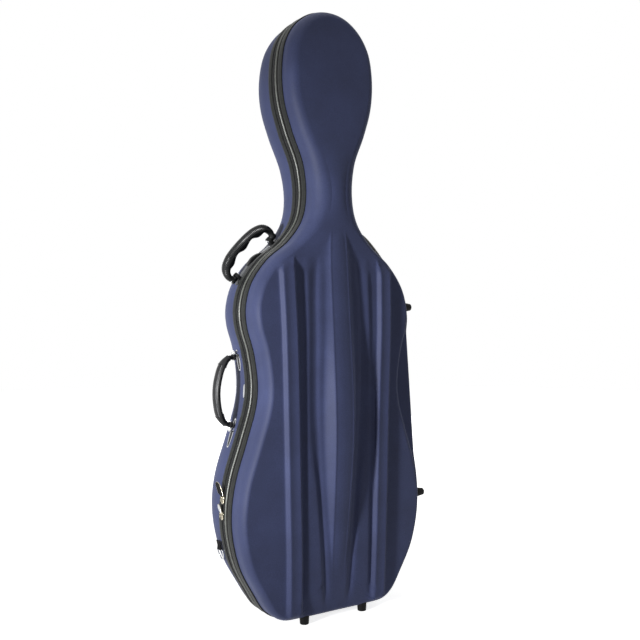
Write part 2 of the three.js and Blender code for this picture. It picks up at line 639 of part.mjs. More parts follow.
piece('strap_ring', surface(ringRows, { ringOfRows: true, rowsAreRings: true }), 'chrome');
const tabHalf = ringHalf - strapRing.taper;

function tabRoller(radius, half) {
  return solid(loft([ringY - half, ringY + half], (y) => steps(0, 1, 10).slice(1).map((turn) => {
    const angle = turn * Math.PI * 2;
    return ringPlace([radius * Math.cos(angle), ringOut + radius * Math.sin(angle), y]);
  })));
}

const tabPatch = loft([0, strapRing.tab - 3, strapRing.tab], (a) => {
  const half = tabHalf - (a === strapRing.tab ? 3 : 0);
  const { patch: top } = strapRing;
  return [[-12, ringY - half], [top, ringY - half], [top, ringY + half], [-12, ringY + half]]
    .map(([out, y]) => ringPlace([a, out, y]));
});
piece('strap_tab', geometryOf(solid(tabPatch).add(tabRoller(wire + 2, tabHalf))
  .subtract(tabRoller(wire + 0.5, 2 * ringHalf)).subtract(backSeat)), 'webbing');

// Padding is cut to the room that it is glued into.
const padRoot = 160;          // padding starts this deep before it is cut
const backInside = backForm(cavityOutline, { ...backRoom, inward: wall + clear, deeper: -wall - clear });
const lidInside = lidForm(cavityOutline, { ...lidRoom, inward: wall + clear, deeper: -wall - clear });

// A cushion lies across the case, with a crowned top that falls to its ends.
function cushion({ z: [low, high], half, top, crown }) {
  const middle = (low + high) / 2;
  const reach = (high - low) / 2;
  const form = loft([-1, -0.94, -0.7, -0.35, 0, 0.35, 0.7, 0.94, 1], (share) => {
    const x = share * half;
    const fall = share ** 4;
    const arc = steps(0, Math.PI, 8).map((angle) => [
      middle - reach * Math.cos(angle) * (1 - fall * 0.15),
      top + crown - (crown - fall * crown * 0.8) * Math.sin(angle) ** 0.7,
    ]);
    return [[arc[0][0], padRoot], ...arc, [arc[8][0], padRoot]].map(([z, y]) => [x, y, z]);
  });
  return geometryOf(solid(form).intersect(backInside));
}

piece('body_pad_lower', cushion(lowerPad), 'plush');
piece('body_pad_upper', cushion(upperPad), 'plush');
piece('head_pad', cushion(headPad), 'plush');

for (const [hand, mirror] of [['left', -1], ['right', 1]]) {
  const [low, high] = waistPad.z;
  const [front, rear] = waistPad.y;
  const middle = (low + high) / 2;
  const form = loft(steps(low, high, 8), (z) => {
    const away = Math.abs(z - middle) / ((high - low) / 2);
    const inner = waistPad.inner + waistPad.hollow * away ** 2;
    const lip = away === 1 ? 9 : 0;
    const [x0, y0] = [inner + lip, front + lip];
    const lipped = [[x0 + 12, y0], [x0 + 3, y0 + 3], [x0, y0 + 12]];
    return [[waistPad.root, y0], ...lipped, [x0, rear], [waistPad.root, rear]]
      .map(([x, y]) => [mirror * x, y, z]);
  });
  piece(`waist_pad_${hand}`, geometryOf(solid(form).intersect(backInside)), 'plush');
}

const notch = new THREE.CylinderGeometry(neckRest.notch, neckRest.notch, 80, 16).rotateX(Math.PI / 2)
  .translate(0, neckRest.top + neckRest.notchDepth - neckRest.notch, neckRest.z[0]);
const notchMouth = new THREE.BoxGeometry(neckRest.notch * 2, 40, 80)
  .translate(0, neckRest.top + neckRest.notchDepth - neckRest.notch - 20, neckRest.z[0]);
const restBlock = loft(neckRest.z, (z) => {
  const { half, top } = neckRest;
  return [[-half, top], [half, top], [half, padRoot], [-half, padRoot]].map(([x, y]) => [x, y, z]);
});
piece('neck_rest', geometryOf(solid(restBlock).intersect(backInside)
  .subtract(solid(notch)).subtract(solid(notchMouth))), 'foam');

const strapRow = [-1, -0.97, 0.97, 1].map((t) => t * neckStrap.half);
piece('neck_strap', loft(strapRow, (x) => {
  const trim = Math.abs(x) === neckStrap.half ? 2 : 0;
  const under = neckRest.top - clear;
  const over = under - neckStrap.thick;
  const [low, high] = [neckStrap.z[0] + trim, neckStrap.z[1] - trim];
  return [[under, low], [over, low], [over, high], [under, high]].map(([y, z]) => [x, y, z]);
}), 'webbing');

const slot = new THREE.CylinderGeometry(endpinBlock.slot, endpinBlock.slot, 140, 16).rotateX(Math.PI / 2)
  .translate(0, endpinBlock.top + 14, 40);
const slotMouth = new THREE.BoxGeometry(endpinBlock.slot * 2, 40, 140).translate(0, endpinBlock.top - 6, 40);
const endBlock = loft([-1, -0.9, 0.9, 1], (share) => {
  const { high, top, half } = endpinBlock;
  const x = share * half;
  const lip = Math.abs(share) === 1 ? 6 : 0;
  const [front, above] = [top + lip, high - lip];
  return [[front, 0], [front, above - 8], [front + 8, above], [padRoot, above], [padRoot, 0]]
    .map(([y, z]) => [x, y, z]);
});
piece('endpin_block', geometryOf(solid(endBlock).intersect(backInside)
  .subtract(solid(slot)).subtract(solid(slotMouth))), 'foam');

for (const [hand, mirror] of [['left', -1], ['right', 1]]) {
  const x = mirror * bow.x;
  const round = (radius, from, to) => solid(new THREE.CylinderGeometry(radius, radius, to - from, 12)
    .translate(x, -(from + to) / 2, bow.clipZ));
  const [plateWidth, plateHeight] = bow.plate;
  const plate = new THREE.BoxGeometry(plateWidth, 30, plateHeight).translate(x, -bow.baseTop - 15, bow.clipZ);
  const base = solid(plate).intersect(lidInside)
    .subtract(round(bow.socket, bow.baseTop - 1, bow.baseTop + bow.socketDepth));
  piece(`bow_clip_base_${hand}`, geometryOf(base), 'blackPlastic', lid);

  const halfArm = [[-bow.arm, 3], [-bow.arm + 5, 5], [-6, 6], [6, 6], [bow.arm - 5, 5], [bow.arm, 3]];
  const arm = loft(halfArm, ([a, half]) => [
    [bow.baseTop - clear, -half], [bow.armTop, -half], [bow.armTop, half], [bow.baseTop - clear, half],
  ].map(([depth, z]) => [x + a, -depth, bow.clipZ + z]));
  const stud = round(bow.stud, bow.baseTop - 2, bow.baseTop + bow.socketDepth - clear);
  piece(`bow_clip_${hand}`, geometryOf(solid(arm).add(stud)), 'blackPlastic', lid);

  const [low, high] = bow.pocketZ;
  const { pocketWidth, pocketTop, pocketWall, pocketRoom, pocketFloor } = bow;
  const outer = new THREE.BoxGeometry(pocketWidth, 60, high - low)
    .translate(x, -pocketTop - 30, (low + high) / 2);
  const inner = new THREE.BoxGeometry(pocketWidth - 2 * pocketWall, pocketRoom, high - low)
    .translate(x, -pocketTop - pocketWall - pocketRoom / 2, (low + high) / 2 + pocketFloor);
  const pocket = solid(outer).intersect(lidInside).subtract(solid(inner));
  piece(`bow_tip_pocket_${hand}`, geometryOf(pocket), 'plush', lid);
}

export default caseGroup;
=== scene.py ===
# Cello hard case: two canvas-covered shells that meet at a zip, with a straight hinge down one side,
# two moulded shoulder handles, a leather handle in the waist, rubber feet and a padded inside.
import math

import bmesh
import bpy
import numpy as np
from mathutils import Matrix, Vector
from mathutils.bvhtree import BVHTree
from mathutils.kdtree import KDTree


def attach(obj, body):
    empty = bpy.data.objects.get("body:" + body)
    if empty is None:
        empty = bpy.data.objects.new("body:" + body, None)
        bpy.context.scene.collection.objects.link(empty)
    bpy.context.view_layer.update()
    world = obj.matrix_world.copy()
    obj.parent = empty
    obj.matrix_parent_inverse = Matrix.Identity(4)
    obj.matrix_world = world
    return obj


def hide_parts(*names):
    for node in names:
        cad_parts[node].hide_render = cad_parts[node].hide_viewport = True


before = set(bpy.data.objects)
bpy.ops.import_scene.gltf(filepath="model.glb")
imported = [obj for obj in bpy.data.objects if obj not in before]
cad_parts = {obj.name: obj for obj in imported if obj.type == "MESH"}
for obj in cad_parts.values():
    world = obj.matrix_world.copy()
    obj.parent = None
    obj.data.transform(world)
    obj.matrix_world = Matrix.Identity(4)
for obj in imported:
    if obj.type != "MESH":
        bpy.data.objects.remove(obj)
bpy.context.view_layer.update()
print("frame loaded")

# Shapes are worked out in millimetres, with x = 0 in the middle of the shells and y = 0 at the zip.
mm = 0.001
caseShift = np.array([-6.8, -9.8, 0.0])


def inMetres(points):
    return (np.asarray(points, float) + caseShift) * mm


# Finishes

def linear(hexColour):
    channels = [int(hexColour[i:i + 2], 16) / 255 for i in (0, 2, 4)]
    return (*[c / 12.92 if c <= 0.04045 else ((c + 0.055) / 1.055) ** 2.4 for c in channels], 1)


# Adds a node and gives back one of its outputs. Its inputs are set in order or by name, to a value or to
# another node's output. A name in small letters is a setting of the node itself.
def add(material, kind, *inputs, out=0, **named):
    node = material.node_tree.nodes.new("ShaderNode" + kind)
    for name, value in [*enumerate(inputs), *named.items()]:
        if isinstance(name, str) and hasattr(node, name):
            setattr(node, name, value)
        elif isinstance(value, bpy.types.NodeSocket):
            material.node_tree.links.new(value, node.inputs[name])
        else:
            node.inputs[name].default_value = value
    return node.outputs[out]


# A new material and the place on the piece that its pattern is drawn at
def newMaterial(name, settings):
    material = bpy.data.materials.new(name)
    material.use_nodes = True
    for key, value in settings.items():
        material.node_tree.nodes["Principled BSDF"].inputs[key].default_value = value
    return material, add(material, "TexCoord", out="Object")


# The shade picks a colour between the stops. The height becomes a bump with a depth in millimetres.
def dress(material, shade, stops, height, strength, depth):
    colour = add(material, "ValToRGB", shade)
    ramp = colour.node.color_ramp
    for element, (position, hexColour) in zip(ramp.elements, (stops[0], stops[-1])):
        element.position, element.color = position, linear(hexColour)
    for position, hexColour in stops[1:-1]:
        ramp.elements.new(position).color = linear(hexColour)
    bump = add(material, "Bump", Strength=strength, Distance=depth * mm, Height=height)
    shader = material.node_tree.nodes["Principled BSDF"]
    material.node_tree.links.new(colour, shader.inputs["Base Color"])
    material.node_tree.links.new(bump, shader.inputs["Normal"])
    return material


def wave(material, source, period):
    scaled = add(material, "Math", source, 2 * math.pi / period, operation="MULTIPLY")
    return add(material, "Math", scaled, operation="SINE")


canvas = {
    "shades": [(0.4, "282d45"), (0.66, "303653"), (0.94, "3a4163")],
    "thread": 1.6,        # mm; real threads lie 0.4 mm apart, drawn coarser so that they show
    "weaveDepth": 0.1,    # mm
    "clouds": 90,         # mm; slow change of shade over the dyed cloth
    "slubs": 2.2,         # mm; thicker places in single threads
}


# Woven nylon pack cloth, dyed navy and coated: dull threads with a soft broad shine.
def canvasMaterial():
    material, place = newMaterial("wovenNylonNavy", {
        "Roughness": 0.6, "IOR": 1.53, "Specular IOR Level": 0.16,
        "Sheen Weight": 0.2, "Sheen Roughness": 0.5, "Sheen Tint": linear("aab2d8"),
    })
    axes = add(material, "SeparateXYZ", place).node.outputs
    # the threads run over the face and on round the side walls without a seam
    sideways = add(material, "Math", axes["X"], operation="ABSOLUTE")
    across = add(material, "Math", sideways, axes["Y"], operation="ADD")
    threads = [wave(material, source, canvas["thread"] * mm) for source in (across, axes["Z"])]
    weave = add(material, "Math", *threads, operation="MULTIPLY")
    slubs = add(material, "TexNoise", place, Scale=1 / (canvas["slubs"] * mm), Detail=2, Roughness=0.6)
    clouds = add(material, "TexNoise", place, Scale=1 / (canvas["clouds"] * mm), Detail=4, Roughness=0.55)
    clouds = add(material, "Math", clouds, 0.5, 0.2, operation="MULTIPLY_ADD")
    shade = add(material, "Math", slubs, 0.45, clouds, operation="MULTIPLY_ADD")
    height = add(material, "Math", weave, 0.5, slubs, operation="MULTIPLY_ADD")
    return dress(material, shade, canvas["shades"], height, 0.35, canvas["weaveDepth"])


def grained(name, settings, shades, grain, depth, strength=0.3):
    material, place = newMaterial(name, settings)
    grains = add(material, "TexNoise", place, Scale=1 / (grain * mm), Detail=5, Roughness=0.6)
    return dress(material, grains, shades, grains, strength, depth)


# Woven band with ribs across it and dashes of thread at a distance from both edges. Its UV map is in
# millimetres: along the band, and in from the nearer edge.
def woven(name, settings, shades, rib, depth, stitchedAt=None):
    material, place = newMaterial(name, settings)
    axes = add(material, "SeparateXYZ", add(material, "UVMap", uv_map="band")).node.outputs
    height = wave(material, axes["X"], rib)
    fluff = add(material, "TexNoise", place, Scale=1 / (7 * mm), Detail=5, Roughness=0.65)
    shade = add(material, "Math", height, 0.07, fluff, operation="MULTIPLY_ADD")
    if stitchedAt:
        stitch = {"length": 5.0, "halfWidth": 0.55}
        line = add(material, "Math", axes["Y"], stitchedAt, stitch["halfWidth"], operation="COMPARE")
        beat = wave(material, axes["X"], stitch["length"])
        dash = add(material, "Math", beat, -0.5, operation="GREATER_THAN")
        stitches = add(material, "Math", line, dash, operation="MULTIPLY")
        shade = add(material, "Math", stitches, 0.25, shade, operation="MULTIPLY_ADD")
        height = add(material, "Math", stitches, 2.5, height, operation="MULTIPLY_ADD")
    return dress(material, shade, shades, height, 0.5, depth)


# Chrome-tanned leather, dyed black and waxed: pebbled grain that catches small lights.
def leatherMaterial():
    material, place = newMaterial("waxedLeatherBlack", {
        "Roughness": 0.42, "Specular IOR Level": 0.25, "Coat Weight": 0.08, "Coat Roughness": 0.3,
    })
    pebbles = add(material, "TexVoronoi", place, Scale=1 / (1.6 * mm))
    wear = add(material, "TexNoise", place, Scale=1 / (14 * mm), Detail=5, Roughness=0.55)
    return dress(material, wear, [(0.35, "0b0b0c"), (0.55, "141416"), (0.75, "252527")], pebbles, 0.35, 0.18)


# Short cut pile glued over foam: very dull, with a pale bloom where the pile leans.
def plushMaterial():
    material, place = newMaterial("shortPilePlush", {
        "Roughness": 0.95, "Sheen Weight": 0.8, "Sheen Roughness": 0.45, "Sheen Tint": linear("8d95b8"),
    })
    pile = add(material, "TexNoise", place, Scale=1 / (1.4 * mm), Detail=3, Roughness=0.55)
    leaning = add(material, "TexNoise", place, Scale=1 / (45 * mm), Detail=2, Roughness=0.55)
    shade = add(material, "Math", pile, 0.4, leaning, operation="MULTIPLY_ADD")
    return dress(material, shade, [(0.35, "262b40"), (0.7, "30364e"), (0.95, "3d4460")], pile, 0.6, 0.5)


finishes = {
    "canvas": canvasMaterial(),
    # polyester binding, folded over the edge and sewn: grey with an olive cast
    "binding": woven("wovenPolyesterBinding",
                     {"Roughness": 0.55, "Specular IOR Level": 0.15, "Sheen Weight": 0.1},
                     [(0.3, "0b0c0c"), (0.5, "131514"), (0.85, "282b29")], 1.8, 0.15, stitchedAt=3.2),
    # extruded vinyl welting: smooth and pale grey with a low gloss
    "welting": grained("extrudedVinylWelting", {"Roughness": 0.38, "IOR": 1.52},
                       [(0.3, "40423e"), (0.55, "535551"), (0.8, "646662")], 4, 0.05),
    "zipTape": woven("wovenZipTape", {"Roughness": 0.7, "Specular IOR Level": 0.12, "Sheen Weight": 0.05},
                     [(0.3, "0c0c0d"), (0.6, "141516"), (0.8, "1f2022")], 1.2, 0.08),
    # the same tape where it lies in the groove beside the cord, painted a deeper black than the tape with
    # next to no shine: painted shade for the shadowed groove
    "flange": woven("grooveTapePaintedShade", {"Roughness": 0.9, "Specular IOR Level": 0.2},
                    [(0.3, "040404"), (0.6, "070707"), (0.8, "0d0d0e")], 1.2, 0.08),
    # nylon coil, dyed through: shinier than its tape
    "zipCoil": grained("nylonZipCoil", {"Roughness": 0.32, "IOR": 1.53, "Specular IOR Level": 0.3},
                       [(0.3, "101112"), (0.6, "191a1c"), (0.8, "252629")], 3, 0.03),
    "black": grained("mouldedAbsBlack", {"Roughness": 0.36, "IOR": 1.54, "Specular IOR Level": 0.25},
                     [(0.3, "08090a"), (0.6, "0e0f10"), (0.8, "17181a")], 1.1, 0.04),
    "rubber": grained("mouldedRubberBlack", {"Roughness": 0.62, "IOR": 1.52, "Specular IOR Level": 0.12},
                      [(0.3, "060606"), (0.6, "0b0b0b"), (0.85, "161615")], 2.4, 0.08),
    "leather": leatherMaterial(),
    # waxed polyester sewing thread, a little shiny; its pale grey is partly painted highlight, standing in
    # for the light along the grip's seam ridges
    "thread": grained("waxedThreadGreyAndPaintedHighlight", {"Roughness": 0.5}, [(0.3, "5c5d60"), (0.8, "7c7d80")], 1.2, 0.05),
    # chrome plate keeps faint polishing marks
    "chrome": grained("chromePlate", {"Metallic": 1.0, "Roughness": 0.14},
                      [(0.2, "c4c6c9"), (0.8, "e6e7e8")], 9, 0.01, 0.1),
    # zinc strip, brushed and lacquered: a dull grey shine
    "zinc": grained("brushedZincStrip", {"Metallic": 1.0, "Roughness": 0.4},
                    [(0.2, "55575a"), (0.8, "74767a")], 5, 0.03, 0.2),
    # nickel-washed brass casting: pale, warm and a little rough from tumbling
    "nickel": grained("nickelWashedBrass", {"Metallic": 1.0, "Roughness": 0.26},
                      [(0.25, "9d9582"), (0.55, "c2bba8"), (0.8, "dfdacb")], 2.5, 0.06),
    "plush": plushMaterial(),
    # narrow plain tape that binds seams of the padding
    "webbingPlain": grained("bindingTapeBlack", {"Roughness": 0.7, "Sheen Weight": 0.2},
                            [(0.3, "101013"), (0.6, "1b1b20"), (0.8, "2a2a31")], 1.5, 0.1),
    "webbing": woven("nylonWebbingBlack", {"Roughness": 0.75, "Specular IOR Level": 0.08},
                     [(0.3, "09090a"), (0.6, "121214"), (0.85, "1f1f23")], 1.6, 0.2, stitchedAt=2.5),
}
print("finishes made")


# Curves and blends

def unit(vectors):
    vectors = np.asarray(vectors, float)
    return vectors / np.maximum(np.linalg.norm(vectors, axis=-1, keepdims=True), 1e-12)


def ease(t):
    t = np.clip(t, 0, 1)
    return t * t * (3 - 2 * t)


# Nothing at the first place, one at the second
def faded(value, places):
    return ease((value - places[0]) / (places[1] - places[0]))


def softMax(a, b, radius):
    return (a + b + np.sqrt((a - b) ** 2 + radius ** 2)) / 2


def softMin(a, b, radius):
    return (a + b - np.sqrt((a - b) ** 2 + radius ** 2)) / 2


# A smooth curve through stations of [height, size], with the slope of their neighbours at each one.
def along(stations):
    heights, sizes = np.array([s[:2] for s in stations], float).T
    number = np.arange(len(heights))
    before, after = np.maximum(number - 1, 0), np.minimum(number + 1, len(heights) - 1)
    slopes = (sizes[after] - sizes[before]) / (heights[after] - heights[before])

    def size(z):
        z = np.clip(z, heights[0], heights[-1])
        i = np.clip(np.searchsorted(heights, z, side="right") - 1, 0, len(heights) - 2)
        span = heights[i + 1] - heights[i]
        t = (z - heights[i]) / span
        start = sizes[i] * (1 + 2 * t) + slopes[i] * span * t
        end = sizes[i + 1] * (3 - 2 * t) - slopes[i + 1] * span * (1 - t)
        return start * (1 - t) ** 2 + end * t * t
    return size


# Centripetal curve through points, as close samples.
def curveThrough(points, closed=False, perSpan=40):
    points = np.array(points, float)
    if closed:
        rounds = np.concatenate([points[-1:], points, points[:2]])
    else:
        rounds = np.concatenate([2 * points[:1] - points[1:2], points, 2 * points[-1:] - points[-2:-1]])
    t = np.arange(perSpan)[:, None] / perSpan
    samples = []
    for p0, p1, p2, p3 in zip(rounds, rounds[1:], rounds[2:], rounds[3:]):
        d0, d1, d2 = [max(np.linalg.norm(b - a) ** 0.5, 1e-4) for a, b in ((p0, p1), (p1, p2), (p2, p3))]
        leave = ((p1 - p0) / d0 - (p2 - p0) / (d0 + d1) + (p2 - p1) / d1) * d1
        reach = ((p2 - p1) / d1 - (p3 - p1) / (d1 + d2) + (p3 - p2) / d2) * d1
        bend = 3 * (p2 - p1) - 2 * leave - reach
        turn = 2 * (p1 - p2) + leave + reach
        samples.append(p1 + leave * t + bend * t ** 2 + turn * t ** 3)
    return np.concatenate(samples + [points[:1] if closed else points[-1:]])


def lengthsAlong(curve):
    return np.concatenate([[0], np.cumsum(np.linalg.norm(np.diff(curve, axis=0), axis=1))])


def evenly(curve, count):
    reach = lengthsAlong(curve)
    spaced = np.linspace(0, reach[-1], count)
    return np.stack([np.interp(spaced, reach, curve[:, k]) for k in range(curve.shape[1])], 1)


def backToStart(ring):
    return np.concatenate([ring, ring[:1]])


# A smooth closed outline with evenly spaced points
def rounded(points, count=40):
    return evenly(curveThrough(points, closed=True), count + 1)[:-1]


# The same through one side of an outline and its mirror image. Points on the mirror line count once.
def roundedBoth(side, count):
    image = [[a, -b] for a, b in side]
    return rounded([p for p in image[:1] if p[1]] + side + [p for p in image[:0:-1] if p[1]], count)


def circle(radius, count=16):
    turn = np.arange(count) * 2 * math.pi / count
    return np.stack([radius * np.cos(turn), radius * np.sin(turn)], 1)


# A change of axes and a shift. For each new axis it says which old one it is, counted from 1, and with a
# minus where the direction is reversed.
def turnedTo(axes, shift=(0, 0, 0)):
    axes = np.array(axes)

    def place(points):
        return np.asarray(points, float)[..., abs(axes) - 1] * np.sign(axes) + shift
    return place


# Mesh building

# Lays a flat grid over rows of points. Where its edges meet they are merged.
def draped(points, maps=None, caps=False):
    rows, columns = points.shape[:2]
    bm = bmesh.new()
    bmesh.ops.create_grid(bm, x_segments=columns - 1, y_segments=rows - 1, size=1)
    numbers = {}
    for v in bm.verts:
        numbers[v] = (round((v.co.y + 1) / 2 * (rows - 1)), round((v.co.x + 1) / 2 * (columns - 1)))
    if maps is not None:
        layer = bm.loops.layers.uv.new("band")
        for face in bm.faces:
            for loop in face.loops:
                loop[layer].uv = maps[numbers[loop.vert]]
    metres = inMetres(points)
    for v, number in numbers.items():
        v.co = metres[number]
    bmesh.ops.remove_doubles(bm, verts=bm.verts, dist=2e-6)
    if caps:
        bmesh.ops.holes_fill(bm, edges=[e for e in bm.edges if e.is_boundary], sides=0)
    bmesh.ops.recalc_face_normals(bm, faces=bm.faces)
    return bm


# A profile of [radius, height] turned round the third axis.
def turned(profile, steps=40):
    bm = bmesh.new()
    verts = [bm.verts.new((radius, 0, height)) for radius, height in profile]
    line = verts + [bm.edges.new(pair) for pair in zip(verts, verts[1:])]
    bmesh.ops.spin(bm, geom=line, cent=(0, 0, 0), axis=(0, 0, 1), angle=2 * math.pi, steps=steps,
                   use_merge=True)
    bmesh.ops.remove_doubles(bm, verts=bm.verts, dist=1e-4)
    return bm


# A flat outline drawn out to a thickness, with rounded edges.
def slab(corners, low, high, bevel, segments=2):
    bm = bmesh.new()
    face = bm.faces.new([bm.verts.new((a, b, low)) for a, b in corners])
    drawn = bmesh.ops.extrude_face_region(bm, geom=[face])["geom"]
    raised = [v for v in drawn if isinstance(v, bmesh.types.BMVert)]
    bmesh.ops.translate(bm, verts=raised, vec=(0, 0, high - low))
    bmesh.ops.recalc_face_normals(bm, faces=bm.faces)
    sharp = [e for e in bm.edges if e.calc_face_angle(0) > 0.6]
    bmesh.ops.bevel(bm, geom=sharp, offset=bevel, affect="EDGES", segments=segments, profile=0.5, material=-1)
    return bm


# Rings of points round a flat path. A section is a closed ring of [to the side, out of the plane], the
# same all along or worked out from the share of the path.
def swept(path, section, closed=False):
    if closed:
        way = backToStart(unit(np.roll(path[:-1], -1, 0) - np.roll(path[:-1], 1, 0)))
    else:
        way = unit(np.gradient(path, axis=0))
    rings = []
    for t, point, (a, b) in zip(np.linspace(0, 1, len(path)), path, way):
        ring = backToStart(np.asarray(section(t) if callable(section) else section))
        rings.append(np.column_stack([point + np.array([-b, a]) * ring[:, :1], ring[:, 1]]))
    return np.array(rings)


# Takes a mesh through changes of axes to its place in metres.
def settled(bm, *places):
    points = np.array([v.co[:] for v in bm.verts])
    for place in places:
        points = place(points)
    for v, spot in zip(bm.verts, inMetres(points)):
        v.co = spot
    bmesh.ops.recalc_face_normals(bm, faces=bm.faces)
    return bm


def joined(first, *others):
    for other in others:
        mesh = bpy.data.meshes.new("part")
        other.to_mesh(mesh)
        other.free()
        first.from_mesh(mesh)
        bpy.data.meshes.remove(mesh)
    return first

# Makes a piece that rides on a body. It replaces the node that is named, or else the one of its own
# name, where the frame has one.
def keep(name, bm, finish, body, sharp=35, node=None):
    mesh = bpy.data.meshes.new(name)
    bm.to_mesh(mesh)
    bm.free()
    mesh.materials.append(finishes[finish])
    mesh.shade_smooth()
    mesh.set_sharp_from_angle(angle=math.radians(sharp))
    piece = bpy.data.objects.new(name, mesh)
    bpy.context.scene.collection.objects.link(piece)
    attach(piece, body)
    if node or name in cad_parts:
        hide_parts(node or name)
    return piece


# Outline of the case at the zip
outline = {
    # half of it, from the middle of the bottom to the top of the head: [x, z]
    "half": [[0, 10], [86, 10.5], [133, 14], [160, 32], [189, 77], [219, 134], [236, 200], [239, 256],
             [229, 324], [202, 408], [180.5, 480], [176.5, 526], [186, 596], [203, 655], [205.5, 697],
             [192, 748], [155, 800], [100, 845], [65, 893], [54, 948], [62, 1018], [91, 1090], [111, 1156],
             [116, 1224], [106, 1288], [79, 1332], [41, 1359], [0, 1367]],
    "steps": 240,
    "inset": 2.7,       # bindings and zip wrap the shells by this much
    "spine": [130, 1290],
    "crowned": [[30, 180], [1352, 1202]],    # the faces grow crowned between these heights
}
hinge = {"low": [239.5, 262], "high": [206, 692], "beyond": 6, "ramp": 24, "blend": 12}

halfOutline = np.array(outline["half"], float)
wholeOutline = curveThrough(np.concatenate([halfOutline, halfOutline[-2:0:-1] * [-1, 1]]), closed=True)
hingeSide = evenly(wholeOutline[:len(wholeOutline) // 2 + 1], outline["steps"] + 1)
hingeSide[[0, -1], 0] = 0
way = unit(np.gradient(hingeSide, axis=0))
way[0], way[-1] = [1, 0], [-1, 0]
facing = np.stack([way[:, 1], -way[:, 0]], 1)
rim = np.concatenate([hingeSide, hingeSide[-2::-1] * [-1, 1]])
rimOut = np.concatenate([facing, facing[-2::-1] * [-1, 1]])
onHingeSide = np.arange(len(rim)) <= outline["steps"]


def halfWidth(z):
    return np.interp(z, hingeSide[:, 1], hingeSide[:, 0])


def hingeX(z):
    (x0, z0), (x1, z1) = hinge["low"], hinge["high"]
    return x0 + (x1 - x0) * (z - z0) / (z1 - z0)

lowEnd, highEnd = hinge["low"][1], hinge["high"][1]
rampIn = faded(rim[:, 1], [lowEnd - hinge["ramp"], lowEnd])
rampOut = faded(rim[:, 1], [highEnd + hinge["ramp"], highEnd])
ledgeWidth = np.where(onHingeSide, np.maximum(hingeX(rim[:, 1]) - rim[:, 0], 0) * rampIn * rampOut, 0)
bandRim = rim + np.stack([ledgeWidth, 0 * ledgeWidth], 1)
ledgeShare = ease(ledgeWidth / hinge["blend"])
bandOut = unit(rimOut * (1 - ledgeShare[:, None]) + np.array([1.0, 0.0]) * ledgeShare[:, None])

edgeTree = KDTree(len(wholeOutline))
for number, (x, z) in enumerate(wholeOutline):
    edgeTree.insert((x, 0, z), number)
edgeTree.balance()


# How far points lie inside the outline, less than zero outside it.
def depthInside(x, z):
    far = np.array([edgeTree.find((a, 0, b))[2] for a, b in zip(x.ravel(), z.ravel())]).reshape(x.shape)
    return np.where(np.abs(x) > halfWidth(z), -far, far) - outline["inset"]


# Shells: [height, size] along each half, in millimetres
lid = {
    "depth": [[0, 83], [60, 86], [160, 87.5], [400, 89], [640, 90], [800, 84], [930, 93], [1070, 83],
              [1240, 77], [1367, 69]],
    "edge": [[0, 12], [80, 13], [400, 13], [820, 16], [930, 33], [1070, 25], [1240, 23], [1367, 19]],
    "edgeDepth": [[0, 22], [100, 25], [400, 26], [820, 27], [930, 34], [1070, 28], [1367, 26]],
    "crown": 3, "ledge": 76, "ledgeRound": 9, "side": -1,
}
back = {
    "depth": [[0, 78], [60, 96], [160, 119], [300, 138], [640, 133], [790, 121], [920, 98], [1060, 108],
              [1200, 122], [1290, 110], [1367, 88]],
    "edge": [[0, 36], [120, 52], [250, 68], [700, 66], [800, 48], [900, 30], [1030, 32], [1200, 50],
             [1371, 42]],
    "edgeDepth": [[0, 58], [150, 88], [300, 98], [700, 92], [900, 60], [1200, 72], [1371, 52]],
    "crown": 10, "ledge": 92, "ledgeRound": 9, "side": 1,
}
skin = {
    "wallRows": 10, "arcRows": 16, "faceRows": 110, "innerArcRows": 8, "innerFaceRows": 36,
    "cover": 6.0, "wall": 9.0, "rimGap": 0.15,
    # rows gather at the bends, which spread this far, and at the edge of the face
    "samples": 401, "gather": 2.2, "spreads": [5, 5, 5, 5, 7, 7], "edgeSamples": 12, "edgeGather": 2.5,
}
ribs = {
    # the middle of a rib at each height
    "middle": [[0, 110], [149, 112], [280, 115], [500, 120], [720, 127], [840, 130]],
    "halfTop": 13, "halfBase": 20, "height": 12, "setBack": 7, "fade": [765, 828], "sink": 6, "crown": 2.2,
    "blend": 5,
}
# Between the ribs the floor lies a little higher, down to a step beside each rib. It starts at the foot.
lidFloor = {"lift": 4, "across": [93, 78], "fade": [740, 830], "foot": [20, 80]}
bulge = {
    # [height, depth of the top, half width of the top, half width of the base]
    "form": [[30, 86, 15, 31], [90, 91, 17, 34], [149, 98, 19, 38], [280, 112, 22, 47], [400, 121, 24, 56],
             [500, 120, 24.5, 61], [610, 112, 24, 61], [720, 103, 23.5, 60], [800, 97, 23, 54],
             [900, 91, 18, 40]],
    "steep": 2.2, "crown": 2.2, "over": 0.6, "bead": 1.5, "beadHalf": 3, "blend": 4,
    "end": [850, 940], "sink": 30,
}
crease = {"depth": 4.4, "outer": [[150, 6], [300, 8], [420, 15], [900, 15]], "inner": 8}


def edgeDrop(inside, reach, fall):
    share = np.clip(1 - inside / reach, 0, 1)
    return fall * (1 - np.sqrt(1 - share ** 2)) + np.maximum(-inside, 0) * 3


# How far the plain form of a half reaches from the zip.
def formHeight(half, x, z, inside):
    reach, fall = along(half["edge"])(z), along(half["edgeDepth"])(z)
    inner = np.maximum(halfWidth(z) - outline["inset"] - reach, 1)
    low, high = outline["crowned"]
    crown = half["crown"] * np.clip(1 - (x / inner) ** 2, 0, 1) * faded(z, low) * faded(z, high)
    return along(half["depth"])(z) + crown - edgeDrop(inside, reach, fall)


def bulgeAt(z):
    return [along([[row[0], row[k]] for row in bulge["form"]])(z) for k in (1, 2, 3)]


